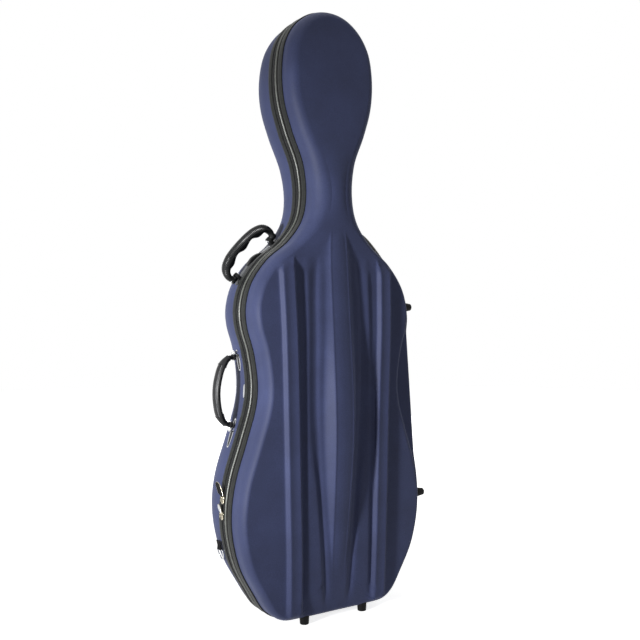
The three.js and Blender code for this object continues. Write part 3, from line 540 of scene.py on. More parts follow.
# The bulge's flanks grow steeper towards its top edge, where a bead runs along.
def bulgeHeight(x, z, inside):
    wide = np.abs(x)
    flat = along(lid["depth"])(z)
    top, flatHalf, baseHalf = bulgeAt(z)
    rise = np.maximum(top - flat, 0.5)
    climb = (baseHalf - wide) / (baseHalf - flatHalf)
    flank = flat + rise * np.where(climb > 0, np.maximum(climb, 0) ** bulge["steep"], climb)
    bead = bulge["bead"] * np.exp(-((wide - flatHalf) / bulge["beadHalf"]) ** 2)
    crest = top + bulge["over"] - bulge["crown"] * np.minimum(wide / flatHalf, 1.4) ** 2 + bead
    domed = softMin(flank + bulge["bead"], crest, bulge["blend"])
    sunk = bulge["sink"] * faded(z, bulge["end"])
    return np.minimum(domed, formHeight(lid, x, z, inside - 4) + rise) - sunk


def lidHeight(x, z, inside):
    wide = np.abs(x)
    plain = formHeight(lid, x, z, inside)
    fading = faded(z, ribs["fade"])
    fromMiddle = np.abs(wide - along(ribs["middle"])(z))
    slope = (ribs["height"] + 3) / (ribs["halfBase"] - ribs["halfTop"])
    flanks = plain + (ribs["halfBase"] - fromMiddle) * slope
    hollow = ribs["crown"] * (1 - (fromMiddle / ribs["halfTop"]) ** 2)
    lift = ribs["height"] * (1 - fading) - ribs["sink"] * fading - hollow
    bar = softMin(flanks, formHeight(lid, x, z, inside - ribs["setBack"]) + lift, ribs["blend"])
    foot = faded(z, lidFloor["foot"])
    raised = faded(wide, lidFloor["across"]) * (1 - faded(z, lidFloor["fade"])) * foot
    face = softMax(plain + lidFloor["lift"] * raised, bar - 0.4, 3)
    face = softMax(face, bulgeHeight(x, z, inside) - 0.6, 2)
    beside = wide - bulgeAt(z)[2]
    groove = np.exp(-(beside / np.where(beside > 0, along(crease["outer"])(z), crease["inner"])) ** 2)
    return face - crease["depth"] * groove * (1 - fading) * foot


def backHeight(x, z, inside):
    return formHeight(back, x, z, inside)


# The room inside the lid reaches into the bulge, well away from the edge.
def lidRoom(x, z, inside):
    plain = formHeight(lid, x, z, inside)
    return softMax(plain, np.where(inside > 45, bulgeHeight(x, z, inside), plain), 4)


# Rows of a half from the edge of its rim over wall, rounded edge and face to the middle line.
def skinRows(half, heightOf, inward, arcRows, faceRows, withLedge):
    turn = np.linspace(0, math.pi / 2, arcRows + 1)[1:]
    share = (ledgeShare if withLedge else 0 * ledgeShare)[:, None]
    edgeLine, out = (bandRim, bandOut) if withLedge else (rim, rimOut)
    reach, fall = [along(half[key])(rim[:, 1])[:, None] for key in ("edge", "edgeDepth")]
    start = edgeLine - out * (outline["inset"] + inward)
    inner = rim - rimOut * (outline["inset"] + inward + reach)
    spine = np.stack([0 * inner[:, 1], np.clip(inner[:, 1], *outline["spine"])], 1)[:, None, :]
    inset = (reach * (1 - share) + half["ledgeRound"] * share) * (1 - np.cos(turn))
    arc = start[:, None, :] - out[:, None, :] * inset[:, :, None]
    plain = heightOf(arc[..., 0], arc[..., 1], reach * (1 - np.cos(turn)))
    ledge = half["ledge"] - half["ledgeRound"] * (1 - np.sin(turn))
    arcHeight = plain * (1 - share) + ledge * share - inward
    # across the face, closer together where ribs and bulge bend
    fine = np.linspace(0, 1, skin["samples"])
    last = arc[:, -1][:, None, :]
    line = last * (1 - fine[None, :, None]) + spine * fine[None, :, None]
    wide, level = np.abs(line[..., 0]), line[..., 1]
    middle = along(ribs["middle"])(level)
    bends = [middle + ribs["halfBase"], middle + ribs["halfTop"], middle - ribs["halfTop"],
             middle - ribs["halfBase"], bulgeAt(level)[2], bulgeAt(level)[1]]
    weight = 1 + 0 * wide
    for bend, spread in zip(bends, skin["spreads"]):
        weight = weight + skin["gather"] * np.exp(-((wide - bend) / spread) ** 2)
    weight[:, :skin["edgeSamples"]] += skin["edgeGather"]
    total = np.cumsum(weight, axis=1)
    total = (total - total[:, :1]) / (total[:, -1:] - total[:, :1])
    wanted = np.linspace(0, 1, faceRows + 1)[1:]
    picks = np.stack([np.interp(wanted, row, fine) for row in total])[..., None]
    face = last * (1 - picks) + spine * picks
    height = heightOf(face[..., 0], face[..., 1], depthInside(face[..., 0], face[..., 1]) - inward)
    height = height * (1 - share) + softMax(height, half["ledge"] + 0 * height, 5) * share - inward
    # the first rows leave the rounded edge at its height
    height = height + np.exp(-np.arange(faceRows) / 2.0) * (arcHeight[:, -1:] - height[:, :1])
    top = arcHeight[:, :1] - (fall * (1 - share) + half["ledgeRound"] * share) * math.sin(turn[0])
    rise = np.linspace(0, 1, skin["wallRows"])
    wallHeight = skin["rimGap"] + (top - skin["rimGap"]) * rise
    wallPlan = start[:, None, :] + 0 * rise[None, :, None]
    plan = np.concatenate([wallPlan, arc, face], 1)
    depths = half["side"] * np.concatenate([wallHeight, arcHeight, height], 1)
    return np.stack([plan[..., 0], depths, plan[..., 1]], -1)


def treeOf(piece):
    mesh = piece.data
    return BVHTree.FromPolygons([v.co for v in mesh.vertices], [p.vertices for p in mesh.polygons])


# A half in two layers: the stiff wall under its cover, and the plush glued into it
halves = {"lid": (lid, lidHeight, lidRoom), "back": (back, backHeight, backHeight)}
trees, linings = {}, {}
for name, (half, heightOf, roomOf) in halves.items():
    outer = skinRows(half, heightOf, 0, skin["arcRows"], skin["faceRows"], True)
    glued, room = [skinRows(half, roomOf, skin[layer], skin["innerArcRows"], skin["innerFaceRows"], False)
                   for layer in ("cover", "wall")]
    wall = keep(name + "_shell", draped(np.concatenate([outer[:, ::-1], glued], 1)), "canvas", name, 50)
    lining = keep(name + "_lining", draped(np.concatenate([glued[:, ::-1], room], 1)), "plush", name, 50)
    trees[name], linings[name] = treeOf(wall), treeOf(lining)
print("shells draped")

# Bands along the edges: finish, run, body, where each lies across the zip, how far it stands out from
# the outline, and how much its middle swells
bands = {
    "lid_binding": ("binding", "all", "lid", [-38, -21], [-2.4, -0.2], 0.5),
    "back_binding": ("binding", "all", "back", [7.4, 22], [-2.4, -0.2], 0.5),
    "lid_zip_tape": ("zipTape", "zip", "lid", [-7, -0.2], [-2.4, -1.7], 0),
    "back_zip_tape": ("zipTape", "zip", "back", [0.2, 7], [-2.4, -1.7], 0),
    "lid_hinge_tape": ("webbing", "hinge", "lid", [-20.7, -0.2], [-2.4, -0.1], 0.3),
    "back_hinge_tape": ("webbing", "hinge", "back", [0.2, 7], [-2.4, -0.1], 0.2),
}
edgeHeights = bandRim[:, 1]
beyondEnds = (edgeHeights > lowEnd - hinge["beyond"]) & (edgeHeights < highEnd + hinge["beyond"])
hingeNumbers = np.flatnonzero(onHingeSide & beyondEnds)
zipNumbers = np.concatenate([np.arange(hingeNumbers[-1] + 1, len(rim)), np.arange(1, hingeNumbers[0])])
runs = {"all": np.arange(len(rim)), "zip": zipNumbers, "hinge": hingeNumbers}


def bandRows(numbers, section):
    section = np.asarray(section, float)
    plan = bandRim[numbers][:, None, :] + bandOut[numbers][:, None, :] * section[None, :, :1]
    y = np.broadcast_to(section[None, :, 1], plan.shape[:2])
    return np.stack([plan[..., 0], y, plan[..., 1]], -1)


def bandSection(across, out, crown):
    (start, end), (under, top) = across, out
    edge = min(0.7, (top - under) / 2)
    ys = np.linspace(start + edge, end - edge, 11)
    bow = top + crown * (1 - ((ys - (start + end) / 2) / ((end - start) / 2)) ** 2)
    cut = edge * 0.3
    return np.array([[under, start], [top - edge, start], [top - cut, start + cut], *np.stack([bow, ys], 1),
                     [top - cut, end - cut], [top - edge, end], [under, end], [under, start]])


for name, (finish, run, body, across, out, crown) in bands.items():
    section = bandSection(across, out, crown)
    length = lengthsAlong(bandRim[runs[run]])
    inFromEdge = np.minimum(section[:, 1] - across[0], across[1] - section[:, 1])
    maps = np.stack(np.broadcast_arrays(length[:, None], inFromEdge[None, :]), -1)
    keep(name, draped(bandRows(runs[run], section), maps, caps=run != "all"), finish, body, 40)

# Welting beside the zip: a round cord in its vinyl cover, and the flange that holds it, painted deep black as
# the shade in the groove
welting = {"across": -9.9, "out": -1.9, "radius": 2.7, "flange": [-20.7, -7.2], "flangeOut": [-2.4, -1.9]}
cord = backToStart(circle(welting["radius"], 18)) + [welting["out"], welting["across"]]
keep("lid_piping", draped(bandRows(zipNumbers, cord), caps=True), "welting", "lid")
flange = bandSection(welting["flange"], welting["flangeOut"], 0)
flangeMaps = np.zeros((len(zipNumbers), len(flange), 2))
flangeMaps[..., 0] = lengthsAlong(bandRim)[zipNumbers][:, None]
# the flange's deep black is painted shade for the groove beside the cord
keep("welting_flange", draped(bandRows(zipNumbers, flange), flangeMaps, caps=True), "flange", "lid")

# Teeth of the zip, one small bevelled block each, staggered on the two tapes
teeth = {"pitch": 2.6, "length": 3.4, "width": 1.7, "under": -1.9, "top": -0.5, "gap": 0.25, "bevel": 0.28}


def toothRow(side, lag):
    line = np.concatenate([bandRim[zipNumbers], bandOut[zipNumbers]], 1)
    reach = lengthsAlong(line[:, :2])
    spaced = np.arange(teeth["pitch"] * (1 + lag), reach[-1] - teeth["pitch"], teeth["pitch"])
    spots = np.stack([np.interp(spaced, reach, column) for column in line.T], 1)
    tooth = bmesh.new()
    bmesh.ops.create_cube(tooth, size=1)
    edges = [e for e in tooth.edges if all(v.co.z > 0 for v in e.verts)]
    bmesh.ops.bevel(tooth, geom=edges, offset=teeth["bevel"], affect="EDGES", segments=1, profile=0.5,
                    material=-1)
    mesh = bpy.data.meshes.new("tooth")
    tooth.to_mesh(mesh)
    shape = np.array([v.co[:] for v in tooth.verts]) + [0, 0, 0.5]
    tooth.free()
    across, y, out = (shape * [teeth["width"], teeth["length"], teeth["top"] - teeth["under"]]).T
    y = side * (teeth["gap"] + teeth["length"] / 2) + y
    out = teeth["under"] + out
    bm = bmesh.new()
    for (x, z), (nx, nz) in zip(spots[:, :2], unit(spots[:, 2:])):
        first = len(bm.verts)
        bm.from_mesh(mesh)
        bm.verts.ensure_lookup_table()
        spread = np.stack([x + nx * out - nz * across, y, z + nz * out + nx * across], 1)
        for number, spot in enumerate(inMetres(spread)):
            bm.verts[first + number].co = spot
    bpy.data.meshes.remove(mesh)
    bmesh.ops.recalc_face_normals(bm, faces=bm.faces)
    return bm


keep("lid_zip_teeth", toothRow(-1, 0), "zipCoil", "lid", 30)
keep("back_zip_teeth", toothRow(1, 0.5), "zipCoil", "back", 30)
print("bands and zip laid")

# Leather patches over the two ends of the hinge
patch = {"length": 28, "lower": lowEnd + 40, "upper": highEnd - 64, "across": [-64, -42], "out": [-3.4, -2.6],
         "crown": 0.6, "thick": 2.4}
for level in ("lower", "upper"):
    share = (edgeHeights - patch[level]) / patch["length"]
    numbers = np.flatnonzero(onHingeSide & (share > 0) & (share < 1))
    swell = np.sqrt(np.clip(1 - np.abs(2 * share[numbers] - 1) ** 6, 0, 1))
    section = bandSection(patch["across"], patch["out"], patch["crown"])
    rows = bandRows(numbers, section)
    rows[..., 0] += (swell * patch["thick"])[:, None] * (section[None, :, 0] > patch["out"][0])
    keep(f"hinge_end_patch_{level}", draped(rows, caps=True), "leather", "lid")

# Rubber feet, turned and set against the shells
feet = {"length": 60, "bury": 4, "rimRound": 1.6, "recess": 3.5, "recessDepth": 5}
standing = {"top": 11, "radius": 10, "x": 77, "lid": -72, "back": 58}
lying = {"top": 10.5, "radius": 8.5, "low": [252, 21], "high": [698, 15.5], "lid": -66, "back": 58}


def footProfile(radius, top):
    recess, deep = feet["recess"], feet["recessDepth"]
    inner = [[0, deep], [recess - 0.6, deep], [recess, deep - 0.6], [recess, 0.8], [recess + 0.8, 0]]
    rounding = [[radius - feet["rimRound"], 0], [radius - 0.5, 0.45], [radius, feet["rimRound"]]]
    return inner + rounding + [[radius + 0.15, 4], [(radius + top) / 2, 9], [top - 0.4, 14], [top, 18]]


# The last ring of a foot runs on until it lies in the shell's wall.
def foot(name, half, place, spec):
    bm = turned(footProfile(spec["radius"], spec["top"]))
    drawn = bmesh.ops.extrude_edge_only(bm, edges=[e for e in bm.edges if e.is_boundary])["geom"]
    origin, ahead = [Vector(p) for p in inMetres(place([[0, 0, 0], [0, 0, 1]]))]
    direction = (ahead - origin).normalized()
    reaches = {}
    for v in [v for v in drawn if isinstance(v, bmesh.types.BMVert)]:
        base = Vector(inMetres(place(v.co[:]))) - direction * (v.co.z * mm)
        hit = trees[half].ray_cast(base - direction * 0.02, direction)[0]
        reaches[v] = (hit - base).dot(direction) / mm if hit else feet["length"]
    furthest = max(reach for reach in reaches.values() if reach < feet["length"])
    for v, reach in reaches.items():
        v.co.z = min(reach, furthest) + feet["bury"]
    bmesh.ops.holes_fill(bm, edges=[e for e in bm.edges if e.is_boundary], sides=0)
    keep(name, settled(bm, place), "rubber", half, 40)


for half in ("lid", "back"):
    for hand, mirror in (("left", -1), ("right", 1)):
        upright = turnedTo((1, 2, 3), (mirror * standing["x"], standing[half], 0))
        foot(f"foot_bottom_{half}_{hand}", half, upright, standing)
    for level in ("low", "high"):
        z, reach = lying[level]
        sideways = turnedTo((-3, 2, 1), (halfWidth(z) + reach, lying[half], z))
        foot(f"foot_side_{half}_{level}", half, sideways, lying)
print("feet set")

# Carrying handles
shoulderHandle = {
    "upper": [-93, 848.3], "lower": [-188.4, 750.6], "y": 33, "axle": 12, "leg": 7,
    "arch": [[71, 12], [74, 25], [67, 39], [46, 49.5], [0, 53.5]],
    "thickness": [7, 11], "width": [7.5, 13], "grow": 0.18, "scallops": 4, "scallop": 3.2, "rings": 205 / 3.4,
    "ringDepth": 0.7,
}
sideHandle = {
    "upper": [-182.5, 597], "lower": [-192.5, 421], "y": 42, "axle": 10, "leg": 6,
    "arch": [[75.5, 10], [72, 24], [54, 38], [27, 45.5], [0, 48]],
    "thickness": [5, 8], "width": [6, 14], "grow": 0.2, "seam": 0.9, "seamAt": 0.7, "seamHalf": 0.09,
}


# The frame of a handle: u from its lower to its upper end, v away from the shell, w across.
def handleFrame(handle, mirror=1):
    upper, lower = np.array(handle["upper"], float), np.array(handle["lower"], float)
    middle, way = (upper + lower) / 2, unit(upper - lower)

    def place(p):
        p = np.asarray(p, float)
        x = middle[0] + p[..., 0] * way[0] - p[..., 1] * way[1]
        z = middle[1] + p[..., 0] * way[1] + p[..., 1] * way[0]
        return np.stack([mirror * x, handle["y"] + p[..., 2], z], -1)
    return place


def archOf(handle, count):
    half = np.array(handle["arch"], float)
    return evenly(curveThrough(np.concatenate([half, half[-2::-1] * [-1, 1]])), count)


# Takes what is turned or drawn out along its third axis to u, on the axle of a handle.
def onAxle(handle, sign=1, shift=0):
    return turnedTo((sign * 3, 1, 2), (shift, handle["axle"], 0))


# How far a grip has grown from its ends to its full size, and its half thickness and half width there
def swollen(handle, t):
    full = float(ease((min(t, 1 - t) - 0.02) / handle["grow"]))
    return full, *[small + (large - small) * full for small, large in (handle["thickness"], handle["width"])]


# A grip swept along its arch, with an eye round the axle at each end
def gripOf(handle, path, section, place):
    grip = draped(place(swept(path, section)), caps=True)
    reach, radius = handle["leg"], handle["leg"] + 0.5
    profile = [[0, -reach], [radius - 1.2, -reach], [radius, 1.2 - reach], [radius, reach - 1.2],
               [radius - 1.2, reach], [0, reach]]
    for sign in (1, -1):
        eye = turned(profile, 32)
        grip = joined(grip, settled(eye, onAxle(handle, 1, sign * handle["arch"][0][0]), place))
    return grip


def pinFor(handle, sign, tip, seat, head):
    profile = [[0, tip], [2.6, tip], [3, tip + head * 0.6], [3, seat], [5, seat], [5, seat + head * 0.9],
               [4.2, seat + head * 1.7], [2.5, seat + head * 2.1], [0, seat + head * 2.2]]
    return turned([[radius, sign * u] for radius, u in profile], 32)


# A flat lug round the axle, rooted in its plate
def lug(handle, near, far, reach, root=-5):
    turn = np.linspace(0, math.pi, 13)
    top = np.stack([handle["axle"] + reach * np.sin(turn), reach * np.cos(turn)], 1)
    return slab([[root, reach], *top, [root, -reach]], min(near, far), max(near, far), 1.0)


# A plate that follows the back's shell under it, with its half width at each u and its height above the
# shell at each u and w
def onShell(place, us, halves, heightOf, count=17, under=1.5, ray=60):
    tops, unders = [], []
    for u, half in zip(us, halves):
        top, bottom = [], []
        for w in np.linspace(-1, 1, count) * half:
            high, deep = [Vector(p) for p in inMetres(place(np.array([[u, ray, w], [u, 0, w]])))]
            direction = (deep - high).normalized()
            hit = trees["back"].ray_cast(high, direction)[0] or deep
            top.append(hit - direction * (max(heightOf(u, w), 0) * mm))
            bottom.append(hit + direction * (under * mm))
        tops.append(top)
        unders.append(bottom)
    rings = np.array([[*top, *bottom[::-1], top[0]] for top, bottom in zip(tops, unders)])
    return draped(rings / mm - caseShift, caps=True)


def shoulderSection(t, handle=shoulderHandle):
    full, deep, across = swollen(handle, t)
    turn = np.arange(36) * 2 * math.pi / 36
    scallop = handle["scallop"] * full * math.cos((t - 0.5) / 0.5 * math.pi * handle["scallops"])
    ringed = handle["ringDepth"] * full * math.sin(t * handle["rings"] * 2 * math.pi)
    inner = np.clip(np.cos(turn), 0, 1)
    return np.stack([np.cos(turn) * (deep + ringed * (1 - inner)) + scallop * inner ** 2,
                     np.sin(turn) * (across + ringed * (1 - inner))], 1)


# A zinc strip on the shell, narrower towards its ends, and the swollen plate over its middle
strip = {
    "half": 73, "width": 8, "narrowed": 3, "narrowFrom": 63, "narrowOver": 10, "height": 2.4, "edge": 8.2,
}
lens = {"half": 24, "width": 9, "height": 6.5, "end": 24.5, "side": 11}


def stripHeight(u, w):
    return strip["height"] * math.sqrt(max(0, 1 - (abs(w) / strip["edge"]) ** 8))


def lensHeight(u, w):
    fullness = max(0, 1 - (u / lens["end"]) ** 2) ** 0.8 * max(0, 1 - (w / lens["side"]) ** 2) ** 0.5
    return strip["height"] + lens["height"] * fullness


for hand, mirror in (("left", 1), ("right", -1)):
    place = handleFrame(shoulderHandle, mirror)
    grip = gripOf(shoulderHandle, archOf(shoulderHandle, 300), shoulderSection, place)
    keep(f"shoulder_grip_{hand}", grip, "black", f"shoulder_grip_{hand}", 45)

    us = np.linspace(-strip["half"], strip["half"], 74)
    narrowing = [max(0, (abs(u) - strip["narrowFrom"]) / strip["narrowOver"]) ** 2 for u in us]
    widths = [strip["width"] - strip["narrowed"] * share for share in narrowing]
    keep(f"shoulder_strip_{hand}", onShell(place, us, widths, stripHeight), "zinc", "back", 40)
    us = np.linspace(-lens["half"], lens["half"], 33)
    widths = [lens["width"] * math.sqrt(max(0.02, 1 - (u / lens["end"]) ** 2)) for u in us]
    base = onShell(place, us, widths, lensHeight)
    eyeEnd = shoulderHandle["arch"][0][0] - shoulderHandle["leg"]
    for sign in (1, -1):
        post = lug(shoulderHandle, sign * (eyeEnd - 0.9), sign * (eyeEnd - 9.9), 8)
        base = joined(base, settled(post, turnedTo((3, 1, 2)), place))
    keep(f"shoulder_handle_base_{hand}", base, "black", "back", 40)
    for level, sign in (("upper", 1), ("lower", -1)):
        pin = pinFor(shoulderHandle, sign, eyeEnd + 2 * shoulderHandle["leg"] + 1.5, eyeEnd - 10.2, -1)
        keep(f"shoulder_pin_{hand}_{level}", settled(pin, onAxle(shoulderHandle), place), "chrome", "back")
print("shoulder handles made")

sidePlace = handleFrame(sideHandle)
sidePath = archOf(sideHandle, 200)


def strapSection(t, handle=sideHandle):
    full, deep, across = swollen(handle, t)
    turn = np.arange(40) * 2 * math.pi / 40
    edge = np.abs(np.sin(turn)) ** 6
    beside = (np.abs(np.sin(turn)) - handle["seamAt"]) / handle["seamHalf"]
    seam = handle["seam"] * full * np.exp(-beside ** 2)
    return np.stack([np.cos(turn) * (deep - seam) * (1 - 0.25 * edge),
                     np.sin(turn) * (across - seam * 0.3)], 1)


keep("side_grip", gripOf(sideHandle, sidePath, strapSection, sidePlace), "leather", "side_grip", 45)

# Four rows of stitches along the leather, in the grooves of its edges. Their pale thread is partly painted
# highlight for the light along the seam ridges.
stitched = {"points": (5, 15, 25, 35), "from": 24, "radius": 0.65}


def stitchRow(number):
    start, end = stitched["from"], len(sidePath) - 1 - stitched["from"]

    def section(t):
        whole = (start + t * (end - start)) / (len(sidePath) - 1)
        return circle(stitched["radius"], 8) + strapSection(whole)[number]
    return draped(sidePlace(swept(sidePath[start:end + 1], section)), caps=True)


stitches = joined(*[stitchRow(number) for number in stitched["points"]])
# the pale thread is partly real stitching and partly painted highlight
keep("side_grip_stitches", stitches, "thread", "side_grip")

# Wrapped ends of the leather, each a collar with a rolled edge, and the bracket that each end turns in
collar = {"from": 14, "count": 26, "over": 0.9, "roll": 0.9, "rollHalf": 0.08}
bracket = {
    "lower": [-126, -62], "upper": [46, 92], "width": 8.2, "height": 2.3, "inlayWidth": 5.4, "inlayRim": 0.8,
    "inlayHeight": 2.7,
}
for level, sign in (("upper", 1), ("lower", -1)):
    first = collar["from"] if sign > 0 else len(sidePath) - collar["from"] - collar["count"]

    def collarSection(t, first=first):
        base = strapSection((first + t * (collar["count"] - 1)) / (len(sidePath) - 1))
        over = collar["over"] + collar["roll"] * math.exp(-(min(t, 1 - t) / collar["rollHalf"]) ** 2)
        return base * (1 + over / np.linalg.norm(base, axis=1, keepdims=True))
    wrapped = swept(sidePath[first:first + collar["count"]], collarSection)
    keep(f"side_grip_collar_{level}", draped(sidePlace(wrapped), caps=True), "leather", "side_grip", 45)

    end, leg = sideHandle["arch"][0][0], sideHandle["leg"]
    near, far = end + leg + 0.9, end + leg + 6.9
    pin = pinFor(sideHandle, sign, end - leg - 1.5, far + 0.3, 1)
    keep(f"side_pin_{level}", settled(pin, onAxle(sideHandle), sidePlace), "chrome", "back")
    low, high = bracket[level]
    us = np.linspace(low, high, 41)
    leaf = [math.sin(math.pi * (u - low + 3) / (high - low + 6)) ** 0.5 for u in us]
    widths = [bracket["width"] * share for share in leaf]
    plate = onShell(sidePlace, us, widths, lambda u, w: bracket["height"], 15)
    widths = [max(bracket["inlayWidth"] * share - bracket["inlayRim"], 0.4) for share in leaf[2:-2]]
    inlay = onShell(sidePlace, us[2:-2], widths, lambda u, w: bracket["inlayHeight"], 15)
    keep(f"side_bracket_inlay_{level}", inlay, "black", "back", 40)
    post = settled(lug(sideHandle, sign * near, sign * far, 7), turnedTo((3, 1, 2)), sidePlace)
    keep(f"side_handle_bracket_{level}", joined(plate, post), "chrome", "back", 40)
print("side handle made")


# A frame on the wall at the zip, on the side of the handles: along the zip, outwards, and y.
def wallFrame(z):
    slope = (halfWidth(z + 5) - halfWidth(z - 5)) / 10
    length = math.hypot(1, slope)

    def place(p):
        p = np.asarray(p, float)
        a, out, y = p[..., 0], p[..., 1], p[..., 2]
        return np.stack([-halfWidth(z) - (a * slope + out) / length, y, z + (a - out * slope) / length], -1)
    return place


# Zip sliders: a waisted plate with a bridge over it, and a pull on the bridge
slider = {"length": 17, "width": 12, "base": 0.4, "top": 3.6, "axle": 5.2}
pull = {"window": 7, "lean": 28, "rim": 0.6}
pull = {"window": 7, "lean": 28, "rim": 0.6, "drop": 1.1, "thick": 2.2, "wire": 0.75, "edge": -4.5, "ramp": 6}
zips = [
    {"level": "upper", "z": 278, "length": 36, "width": 12, "twist": 0.42, "finish": "rubber"},
    {"level": "lower", "z": 244, "length": 24, "width": 9, "twist": 0.15, "finish": "chrome"},
]
# drawn along and across the wall, with the third axis outwards
flatOnWall = turnedTo((1, 3, 2))


# A pull lies twisted: beyond its loop the edge towards the back is raised.
def twistedBy(twist):
    def place(p):
        grown = ease((p[..., 0] - pull["window"]) / pull["ramp"])
        raised = np.maximum(0, p[..., 1] - pull["edge"]) * twist * grown
        return p + np.stack([0 * raised, 0 * raised, raised], -1)
    return place


def sliderFor(place):
    long, wide = slider["length"] / 2, slider["width"] / 2
    waisted = roundedBoth([[-long, wide - 3], [-long + 3, wide - 0.4], [0, wide - 1.6],
                           [long - 3, wide - 0.4], [long, wide - 3.5], [long - 1.5, 0]], 44)
    plate = settled(slab(waisted, slider["base"], slider["top"], 0.7, 3), flatOnWall, place)
    arch = curveThrough([[-4.6, 2.6], [-4.2, 5.4], [-2.4, 6.9], [2.4, 6.9], [4.2, 5.4], [4.6, 2.6]])
    strap = np.array([[-0.7, -1.3], [0.7, -1.3], [0.9, 0], [0.7, 1.3], [-0.7, 1.3], [-0.9, 0]])
    return joined(plate, draped(place(swept(evenly(arch, 28), strap)), caps=True))


for zipSlider in zips:
    place, twisted = wallFrame(zipSlider["z"]), twistedBy(zipSlider["twist"])
    level, length, half = zipSlider["level"], zipSlider["length"], zipSlider["width"] / 2
    keep(f"zip_slider_{level}", sliderFor(place), "nickel", f"zip_slider_{level}", 40)

    # a loop of wire holds the tab to the bridge
    loop = backToStart(roundedBoth([[0.7, 2.2], [4.6, 3.8], [8.6, 3]], 48))
    wire = swept(loop, circle(pull["wire"], 10), closed=True) + [0, 0, slider["axle"]]
    keep(f"zip_pull_loop_{level}", draped(place(flatOnWall(wire))), "nickel", f"zip_pull_{level}")
    tabShape = roundedBoth([[6.4, half - 2], [10, half - 0.6], [length * 0.6, half], [length - 3, half - 1.2],
                            [length, 0]], 56)
    tabShape[:, 1] += np.maximum(0, tabShape[:, 0] - pull["window"]) * math.tan(math.radians(pull["lean"]))
    base = slider["axle"] - pull["drop"]
    rimWire = swept(backToStart(tabShape), circle(pull["rim"], 8), closed=True)
    rimWire = twisted(rimWire + [0, 0, base + pull["thick"] / 2])
    keep(f"zip_pull_rim_{level}", draped(place(flatOnWall(rimWire))), "nickel", f"zip_pull_{level}")
    tab = settled(slab(tabShape, base, base + pull["thick"], 0.8, 3), twisted, flatOnWall, place)
    keep(f"zip_pull_{level}", tab, zipSlider["finish"], f"zip_pull_{level}", 40)

# Chrome plate on the wall in the waist
waistPlate = {"middle": 509.5, "half": 15.5, "y": 27, "halfWidth": 2.7, "under": -5, "out": -1.0}
a, b = waistPlate["half"], waistPlate["halfWidth"]
shape = roundedBoth([[-a, 0], [-a + 3, b], [a - 3, b], [a, 0]], 40) + [0, waistPlate["y"]]
plate = slab(shape, waistPlate["under"], waistPlate["out"], 0.7)
keep("waist_plate", settled(plate, flatOnWall, wallFrame(waistPlate["middle"])), "chrome", "back")

# Ring for a carrying strap, hanging in its sewn tab
strapRing = {"z": 162, "y": 36, "width": 27, "height": 24, "wire": 1.6, "tab": 20, "out": 2.6}
place = wallFrame(strapRing["z"])
half, out, ringY = strapRing["width"] / 2, strapRing["out"], strapRing["y"]
ringPath = curveThrough([
    [0, half - 3], [0, 0], [0, -half + 3], [-2.5, -half], [-10, -half + 0.5], [-19, -half + 6],
    [-strapRing["height"], 0], [-19, half - 6], [-10, half - 0.5], [-2.5, half],
], closed=True)
ring = swept(evenly(ringPath, 97), circle(strapRing["wire"], 12), closed=True) + [0, ringY, out]
keep("strap_ring", draped(place(flatOnWall(ring))), "chrome", "strap_ring")
tabHalf = half - 5
radius = strapRing["wire"] + 0.6
over = [[radius * math.cos(t), out + radius * math.sin(t)] for t in np.linspace(-2.4, 1.57, 15)]
foldLine = np.array([[2, 0.2], [1, 0.2], *over, [radius + 2.5, 2.6], [8, 1.7], [strapRing["tab"], 1.4]])


# Flat webbing laid along a path, a little thicker in the middle, and its UV map. Its half width can
# change with the share of the path.
def webbingAlong(path, length, thick, swell, half, narrowed=lambda t: 1):
    side = [[thick, -half], [swell, 0], [thick, half]]
    section = np.array([[-thick, -half], *side, [-thick, half], [-swell, 0]])
    band = swept(path, lambda t: section * [1, narrowed(t)])
    maps = np.zeros(band.shape[:2] + (2,))
    maps[..., 0] = np.linspace(0, length, len(path))[:, None]
    maps[..., 1] = half - np.abs(band[..., 2])
    return band, maps


fold, foldMaps = webbingAlong(evenly(foldLine, 60), 45, 0.8, 0.9, tabHalf)
keep("strap_tab", draped(place(fold + [0, 0, ringY]), foldMaps, caps=True), "webbing", "back")
print("fittings made")

# Padding: plush over foam, grown from the room that its solid holds
padding = {"voxel": 5.0, "shrink": 3.5, "pressure": 4.0, "frames": 20, "cap": 6.0, "glued": 12.0, "welt": 1.7}
cushions = {
    # where the welted seam runs: the axis that its plane stands on, the place on that axis, and the fill
    "body_pad_lower": (1, 98, 0.7),
    "body_pad_upper": (1, 100, 0.7),
    "head_pad": (1, 90, 0.7),
    "waist_pad_left": (0, -151, 0.8),
    "waist_pad_right": (0, 151, 0.8),
}
blocks = {
    # voxel, rounds of smoothing, fill, body
    "neck_rest": (2.6, 5, 0.95, "back"),
    "endpin_block": (3.0, 5, 0.95, "back"),
    "bow_tip_pocket_left": (1.5, 2, 0.9, "lid"),
    "bow_tip_pocket_right": (1.5, 2, 0.9, "lid"),
}
blockShrink = 0.6
hem = {"z": 155.5, "radius": 1.6}


def settleModifiers(piece):
    seen = piece.evaluated_get(bpy.context.evaluated_depsgraph_get())
    mesh = bpy.data.meshes.new_from_object(seen)
    piece.modifiers.clear()
    old, piece.data = piece.data, mesh
    bpy.data.meshes.remove(old)


